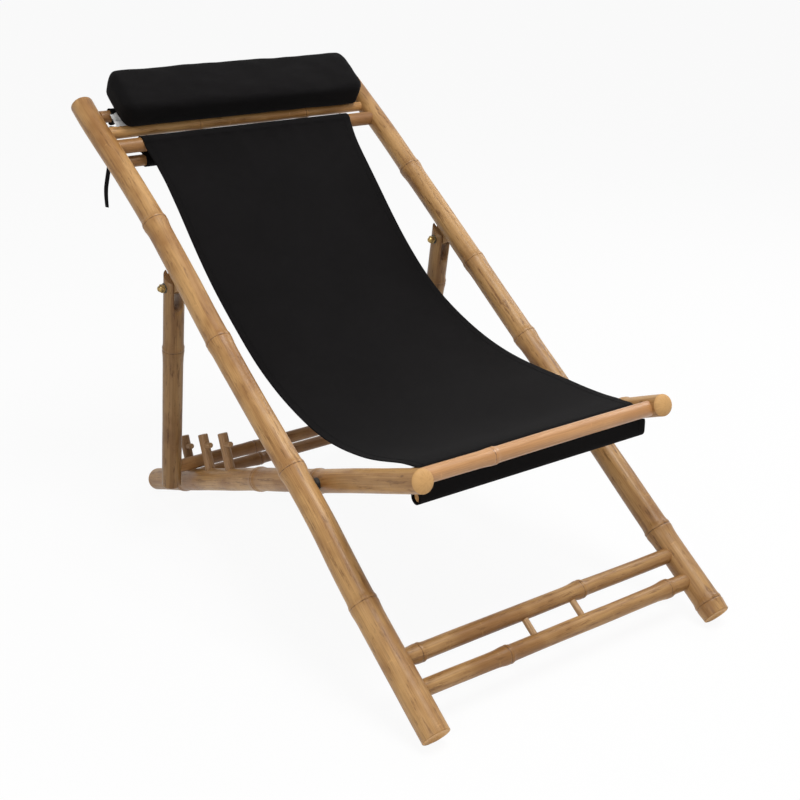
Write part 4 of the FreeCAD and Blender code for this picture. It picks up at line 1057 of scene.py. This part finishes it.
def sling_point(line, kind, free, row, share):
    """A point of the canvas: row down it, share across it from left to right."""
    y, z = line[row]
    left, right, lift_left, lift_right = sling_edges(kind[row], free[row], z - line[-1][1] - 0.003)
    x = -left + (left + right) * share
    way = way_at(line, row)
    normal = np.array([-way[1], way[0]])
    if kind[row] == HANG:
        hang = math.sin(math.pi * min(max(free[row], 0.0), 1.0))
        inside = 1 - abs(2 * share - 1) ** 6
        wave = inside * hang * (0.0011 * math.sin(9.0 * share + 14.0 * free[row])
                                + 0.0018 * noise.noise(Vector((x * 7.0, free[row] * 5.0, 2.3))))
        crease = max(0.0, free[row] - 0.72) * 0.0075 * hang \
            * noise.noise(Vector((x * 26.0 + free[row] * 7.0, free[row] * 4.0, 7.1)))
        y -= normal[0] * (wave + crease)
        z -= normal[1] * (wave + crease)
        z += lift_left * (1 - share) ** 2 + lift_right * share ** 2
        pull = 0.0012 * max(0.0, 1 - free[row] / 0.06) * math.sin(34.0 * share + 1.3) ** 2
        y += normal[0] * pull
        z += normal[1] * pull
    return Vector((MIDDLE + x, y, z))


def hang_across(shape):
    """Bake a piece of the canvas's placement into its mesh."""
    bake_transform(shape)


class MakeSling(bpy.types.Operator):
    """The canvas sling with its pockets, hems and stitches"""
    bl_idname = "recliner.sling"
    bl_label = "Sling"

    def execute(self, context):
        values = context.scene.recliner_cloth
        line, kind, free = sling_line()
        steps = np.linalg.norm(np.diff(line, axis=0), axis=1)
        along = np.concatenate([[0.0], np.cumsum(steps)])
        shares = [0.0, 0.006, 0.028, 0.032, *np.linspace(0.06, 0.94, 48), 0.968, 0.972, 0.994, 1.0]
        verts = [sling_point(line, kind, free, row, share) for row in range(len(line))
                 for share in shares]
        shape = cloth_grid(
            "canvas_sling", verts, len(line), len(shares),
            lambda row, column: (shares[column] * SLING_WIDTH, along[row]),
            cloth("Black canvas", values.canvas_colour, values.thread_pitch))
        thicken(shape, values.canvas_thickness, even=True)
        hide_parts("sling")
        hang_across(shape)
        make_stitches(line, kind, free, values)
        return {"FINISHED"}


def stitch_tree(name):
    """Geometry nodes that lay small stitches along a line at an even pitch."""
    group, net, given, out = new_group(
        name, "GeometryNodeTree",
        [("Geometry", "NodeSocketGeometry", None), ("Pitch", "NodeSocketFloat", 0.0045),
         ("Length", "NodeSocketFloat", 0.003), ("Thread", "NodeSocketFloat", 0.0004),
         ("Material", "NodeSocketMaterial", None)],
        [("Geometry", "NodeSocketGeometry")])
    line, pitch, length, radius, material = list(given.outputs)[:5]
    points = net.add("GeometryNodeCurveToPoints", None, mode="LENGTH", values={
        "Curve": net.add("GeometryNodeMeshToCurve", values={"Mesh": line}), "Length": pitch})
    bead = net.add("GeometryNodeMeshCylinder", "Mesh", values={
        "Vertices": 6, "Side Segments": 1, "Fill Segments": 1, "Radius": radius, "Depth": length})
    made = net.add("GeometryNodeInstanceOnPoints", values={
        "Points": points.outputs["Points"], "Instance": bead,
        "Rotation": net.add("FunctionNodeAlignRotationToVector", axis="Z", values={
            "Vector": points.outputs["Tangent"]})})
    for kind, values in (("RealizeInstances", {}), ("SetShadeSmooth", {}),
                         ("SetMaterial", {"Material": material})):
        made = net.add("GeometryNode" + kind, values={"Geometry": made, **values})
    net.feed(out.inputs["Geometry"], made)
    return group


def make_stitches(line, kind, free, values):
    """Hem stitches down both sides of the canvas, on its two faces."""
    shift = values.canvas_thickness / 2 + STITCH_PROUD
    rows = [row for row, part in enumerate(kind) if 1 <= part <= 4]
    verts, edges = [], []
    for side in (-1, 1):
        for share in (0.030, 0.970):
            edges += [(len(verts) + i, len(verts) + i + 1) for i in range(len(rows) - 1)]
            for row in rows:
                way = way_at(line, row)
                lifted = Vector((0, -way[1], way[0])) * side * shift
                verts.append(sling_point(line, kind, free, row, share) + lifted)
    mesh = bpy.data.meshes.new("hem_stitches")
    mesh.from_pydata(verts, edges, [])
    pitch = values.stitch_pitch
    shape = run_nodes(new_piece("hem_stitches", mesh), group_once("Stitches", stitch_tree), {
        "Pitch": pitch, "Length": pitch * STITCH_SHARE, "Thread": THREAD_RADIUS,
        "Material": thread("Black thread")})
    hang_across(shape)


# Pillow

PILLOW_LOW, PILLOW_HIGH = 1.186, 1.290
PILLOW_BACK, PILLOW_FRONT = 0.0125, 0.0640
PILLOW_HALF = 0.2478


class MakePillow(bpy.types.Operator):
    """The stuffed head pillow, crowned, with drawn in ends and soft folds"""
    bl_idname = "recliner.pillow"
    bl_label = "Head pillow"

    def execute(self, context):
        values = context.scene.recliner_cloth
        shell = bmesh.new()
        bmesh.ops.create_cube(shell, size=1.0)
        tall, deep = PILLOW_HIGH - PILLOW_LOW, PILLOW_FRONT - PILLOW_BACK
        for vertex in shell.verts:
            x, y, z = vertex.co
            vertex.co = Vector((x * 2 * PILLOW_HALF, PILLOW_LOW + (y + 0.5) * tall,
                                PILLOW_BACK + (z + 0.5) * deep))
        for shortest, longest, cuts in ((0.3, 1.0, 60), (0.09, 0.2, 13), (0.04, 0.08, 7)):
            bmesh.ops.subdivide_edges(shell, cuts=cuts, use_grid_fill=True, edges=[
                edge for edge in shell.edges if shortest < edge.calc_length() < longest])
        middle = Vector((0, (PILLOW_LOW + PILLOW_HIGH) / 2, (PILLOW_BACK + PILLOW_FRONT) / 2))
        for vertex in shell.verts:
            vertex.co = self.stuffed(vertex.co, middle, tall, deep)
        bmesh.ops.recalc_face_normals(shell, faces=shell.faces)
        layer = shell.loops.layers.uv.new("UVMap")
        for face in shell.faces:
            for loop in face.loops:
                x, y, z = loop.vert.co
                loop[layer].uv = (y, z) if abs(face.normal.x) > 0.8 else (x, y + z)
            face.smooth = True
        mesh = bpy.data.meshes.new("pillow_cover")
        shell.to_mesh(mesh)
        shell.free()
        mesh.transform(axes_at(Vector(), ACROSS, POLE_WAY, POLE_OUT))
        mesh.transform(Matrix.Translation(on_pole(0.0)))
        mesh.materials.append(cloth("Pillow canvas", values.canvas_colour, values.thread_pitch,
                                    0.3))
        shape = new_piece("pillow_cover", mesh)
        round_off = shape.modifiers.new("Round", "SUBSURF")
        round_off.levels = round_off.render_levels = 1
        settle(shape)
        dress(shape, "back_frame", "pillow_cover", "head_pillow")
        return {"FINISHED"}

    def stuffed(self, point, middle, tall, deep):
        """A point of the plain box, moved to where the stuffing pushes it."""
        x, y, z = point
        u = x / PILLOW_HALF
        v = (y - middle.y) / (tall / 2)
        w = (z - middle.z) / (deep / 2)
        size = max((abs(v) ** 7 + abs(w) ** 7) ** (1 / 7), 1e-6)
        rim = max(abs(v), abs(w)) / size
        ends = (1 - max(0.0, abs(u) - 0.955) ** 2 / 0.045 ** 2 * 0.14)
        y = middle.y + v * rim * ends * tall / 2
        z = middle.z + w * rim * ends * deep / 2
        ripple = 0.0020 * noise.noise(Vector((x * 9.0, v * 1.4, w * 1.4 + 4.0)))
        ripple += 0.0012 * noise.noise(Vector((x * 26.0, v * 3.0, w * 3.0 + 9.0))) \
            * (0.4 + abs(w))
        z += ripple * (1.0 if w > 0 else 0.2) + 0.0022 * (1 - v * v) * (1 if w > 0.9 else 0)
        y += 0.7 * ripple + 0.0015 * (1 - w * w) * (1 - u * u) * (1 if v > 0 else 0)
        x -= 0.006 * u * abs(u) ** 8 * (max(abs(v), abs(w)) ** 6)
        return Vector((x, y, max(z, PILLOW_BACK)))


TIE_ACROSS, TIE_WIDTH, TIE_RADIUS, TIE_THICKNESS = 0.243, 0.0135, 0.0121, 0.0012
KNOT_DEPTH = -0.0126 - 0.00325
TAPE_ROUTE = ((0, 0, -0.0068), (-0.0035, -0.0020, -0.0350), (-0.0110, -0.0070, -0.0650),
              (-0.0210, -0.0125, -0.0940), (-0.0265, -0.0105, -0.1220), (-0.0245, -0.0080, -0.1490))
TAPE_TILTS = (0.9, 0.9, 1.0, 1.1, 1.3, 1.6)
TAPE_LENGTH, TAPE_FLAT, TAPE_EDGE = 0.146, 0.0030, 0.0009
LABEL_LOW, LABEL_HIGH, LABEL_LEFT, LABEL_WIDTH = 1.200, 1.2325, -0.2535, 0.031
LABEL_LIFT, LABEL_THICKNESS = 0.0108, 0.0003


class MakeTies(bpy.types.Operator):
    """The pillow's cloth ties, the left one's loose end and the blank label"""
    bl_idname = "recliner.ties"
    bl_label = "Ties and label"

    def execute(self, context):
        tape = cloth("Tie tape", (0.0045, 0.0042, 0.0044), 0.0006, 0.4)
        for name, side in SIDES:
            loop = self.tied_loop("tie_" + name, side)
            whole = bmesh.new()
            whole.from_mesh(loop.data)
            self.add_knot(whole, on_pole(HEAD_ROD, KNOT_DEPTH, side * TIE_ACROSS))
            layer = whole.loops.layers.uv.verify()
            for face in whole.faces:
                face.smooth = True
                for corner in face.loops:
                    x, y, z = corner.vert.co
                    corner[layer].uv = (x, y + z)
            whole.to_mesh(loop.data)
            whole.free()
            loop.data.uv_layers[0].name = "UVMap"
            loop.data.materials.append(tape)
            dress(loop, "back_frame", "tape", "pillow_tie_" + name)
        self.loose_end()
        self.label()
        return {"FINISHED"}

    def tied_loop(self, name, side):
        """The band of tape round the head rod."""
        centre = on_pole(HEAD_ROD, 0, side * TIE_ACROSS)
        shell = bmesh.new()
        columns, wide = 48, 7
        for i in range(columns):
            turn = 2 * math.pi * i / columns
            for j in range(wide):
                across = (j / (wide - 1) - 0.5) * TIE_WIDTH
                wave = 0.0005 * math.sin(3 * turn + side) + 0.0003 * math.sin(7 * turn)
                size = TIE_RADIUS + wave * 0.3 + 0.0006 * abs(across / (TIE_WIDTH / 2)) ** 3
                place = centre + ACROSS * (across + 0.0008 * math.sin(2 * turn))
                place += (POLE_WAY * math.cos(turn) + POLE_OUT * math.sin(turn)) * size
                shell.verts.new(place)
        shell.verts.ensure_lookup_table()
        for i in range(columns):
            for j in range(wide - 1):
                a, b = i * wide + j, ((i + 1) % columns) * wide + j
                shell.faces.new([shell.verts[k] for k in (a, a + 1, b + 1, b)])
        mesh = bpy.data.meshes.new(name)
        shell.to_mesh(mesh)
        shell.free()
        return thicken(new_piece(name, mesh), TIE_THICKNESS)

    def add_knot(self, shell, knot):
        """Two pressed lumps of tape under the rod."""
        for turn, size in ((0.3, 0.0058), (1.9, 0.0050)):
            made = bmesh.ops.create_uvsphere(shell, u_segments=20, v_segments=12, radius=size)
            for vertex in made["verts"]:
                x, y, z = vertex.co
                squeeze = 1 + 0.22 * math.sin(5 * math.atan2(z, y) + turn * 3)
                vertex.co = knot + Vector((x * 1.0, y * squeeze * 0.85, z * 0.8)) \
                    + Vector((0.002 * math.cos(turn), 0, -0.0012 * math.sin(turn)))

    def loose_end(self):
        """The loose end of the left tie, a limp tape hanging from its knot."""
        knot = on_pole(HEAD_ROD, KNOT_DEPTH, -TIE_ACROSS)
        curve = bpy.data.curves.new("tie_loose_end", "CURVE")
        curve.dimensions = "3D"
        spline = curve.splines.new("NURBS")
        points = [knot + Vector(step) for step in TAPE_ROUTE]
        spline.points.add(len(points) - 1)
        for point, place, tilt in zip(spline.points, points, TAPE_TILTS):
            point.co = (*place, 1.0)
            point.tilt = tilt
        spline.order_u = 3
        spline.use_endpoint_u = True
        spline.resolution_u = 12
        curve.extrude = TAPE_FLAT
        curve.bevel_depth = TAPE_EDGE
        curve.bevel_resolution = 3
        curve.use_fill_caps = True
        curve.materials.append(thread("Black thread"))
        shape = new_piece("tie_loose_end", curve)
        dress(shape, "back_frame", "tape", "pillow_tie_tail")

    def label(self):
        """The crumpled blank label beside the pillow's left end."""
        verts = []
        columns, rows = 14, 18
        for i in range(columns):
            for j in range(rows):
                u, v = i / (columns - 1), j / (rows - 1)
                crumple = 0.0030 * noise.noise(Vector((u * 4.0, v * 5.0, 1.0))) \
                    + 0.0012 * noise.noise(Vector((u * 11.0, v * 12.0, 6.0)))
                verts.append(on_pole(
                    LABEL_LOW + (LABEL_HIGH - LABEL_LOW) * v + 0.001 * math.sin(3 * u),
                    LABEL_LIFT + crumple, LABEL_LEFT + LABEL_WIDTH * u))
        shape = cloth_grid("blank_label", verts, columns, rows,
                           lambda i, j: (i * 0.0026, j * 0.0022),
                           cloth("White label cloth", (0.80, 0.80, 0.79), 0.0004, 0.3, 0.0, 0.0))
        thicken(shape, LABEL_THICKNESS)
        dress(shape, "back_frame", "label_cloth", "pillow_care_label")


# Stage

def seen_rays(net):
    """One for a ray from the camera, a mirror or glass, and nought for light."""
    path = net.add("ShaderNodeLightPath", None).outputs
    seen = net.calc("MAXIMUM", path["Is Camera Ray"], path["Is Glossy Ray"])
    return net.calc("MAXIMUM", seen, path["Is Transmission Ray"])


def aimed(name, data, place, way):
    """A lamp or camera at a place, looking along a way."""
    shape = new_piece(name, data)
    shape.location = place
    shape.rotation_mode = "QUATERNION"
    shape.rotation_quaternion = way.to_track_quat("-Z", "Y")
    return shape


def lamp(name, place, aim, size, watts):
    """A square lamp that shines at a point."""
    light = bpy.data.lights.new(name, "AREA")
    light.shape, light.size, light.size_y = "RECTANGLE", size, size
    light.energy = watts
    aimed(name, light, place, Vector(aim) - Vector(place))


FLOOR_HALF, FLOOR_DROP = 30.0, -0.0005
CAMERA_PLACE = (-1.1709, -1.7126, 1.1011)
CAMERA_LENS, CAMERA_SENSOR = 58.79, 36.0
CAMERA_TURN, CAMERA_DIP = -0.6132, 0.3771


class MakeStage(bpy.types.Operator):
    """The floor, the white surround, the lights and the camera"""
    bl_idname = "recliner.stage"
    bl_label = "Stage"

    def execute(self, context):
        scene, values = context.scene, context.scene.recliner_stage
        scene.view_settings.view_transform = "Standard"
        finish = bpy.data.materials.new("Pale floor")
        finish.use_nodes = True
        finish.node_tree.nodes.clear()
        net = Net(finish.node_tree)
        matt = net.add("ShaderNodeBsdfDiffuse", values={"Color": (*values.floor_colour, 1.0)})
        glow = net.add("ShaderNodeEmission", values={"Color": (1, 1, 1, 1), "Strength": 1.0})
        mix = net.add("ShaderNodeMixShader", values={
            0: net.times(seen_rays(net), 0.93), 1: matt, 2: glow})
        net.add("ShaderNodeOutputMaterial", None, values={"Surface": mix})
        mesh = bpy.data.meshes.new("floor")
        corners = ((-1, -1), (1, -1), (1, 1), (-1, 1))
        mesh.from_pydata([(x * FLOOR_HALF, y * FLOOR_HALF, FLOOR_DROP) for x, y in corners], [],
                         [(0, 1, 2, 3)])
        mesh.materials.append(finish)
        new_piece("floor", mesh)

        world = bpy.data.worlds.new("White studio")
        scene.world = world
        world.use_nodes = True
        net = Net(world.node_tree)
        net.fill(world.node_tree.nodes["Background"], {
            "Color": (1, 1, 1, 1), "Strength": net.step(seen_rays(net), 0.0, 1.0, 0.30, 1.0)})

        lamp("Key light", (0.3, -0.9, 3.0), (0, 0, 0.3), 1.4, values.key_watts)
        lamp("Fill light", (-2.4, -1.6, 1.5), (0, 0, 0.4), 1.2, values.fill_watts)
        lamp("Right light", (2.4, 0.2, 1.9), (0, 0, 0.4), 1.2, values.fill_watts)

        camera = bpy.data.cameras.new("Camera")
        camera.sensor_width, camera.lens = CAMERA_SENSOR, CAMERA_LENS
        camera.clip_start, camera.clip_end = 0.05, 60.0
        level = math.cos(CAMERA_DIP)
        way = Vector((-math.sin(CAMERA_TURN) * level, math.cos(CAMERA_TURN) * level,
                      -math.sin(CAMERA_DIP)))
        scene.camera = aimed("Camera", camera, CAMERA_PLACE, way)
        return {"FINISHED"}


class ReclinerPanel(bpy.types.Panel):
    """Buttons for each piece of the recliner"""
    bl_idname = "VIEW3D_PT_recliner"
    bl_label = "Bamboo recliner"
    bl_space_type = "VIEW_3D"
    bl_region_type = "UI"
    bl_category = "Recliner"

    def draw(self, context):
        for group in GROUPS:
            values = getattr(context.scene, group)
            box = self.layout.box()
            for name in values.bl_rna.properties.keys():
                if name not in ("rna_type", "name"):
                    box.prop(values, name)
        for operator in OPERATORS:
            self.layout.operator(operator.bl_idname)


GROUPS = {"recliner_frame": FrameSizes, "recliner_cloth": ClothSizes,
          "recliner_stage": StageValues}
OPERATORS = (MakeStage, MakeTies, MakePoles, MakeRails, MakeCrossbars, MakeSlat, MakeLegs,
             MakeFittings, MakeSling, MakePillow)


def register():
    for kind in (*GROUPS.values(), *OPERATORS, ReclinerPanel):
        bpy.utils.register_class(kind)
    for name, kind in GROUPS.items():
        setattr(bpy.types.Scene, name, bpy.props.PointerProperty(type=kind))


def unregister():
    for name in GROUPS:
        delattr(bpy.types.Scene, name)
    for kind in (ReclinerPanel, *reversed(OPERATORS), *GROUPS.values()):
        bpy.utils.unregister_class(kind)


def main():
    register()
    for operator in OPERATORS:
        group, name = operator.bl_idname.split(".")
        getattr(getattr(bpy.ops, group), name)()


if __name__ == "__main__":
    main()
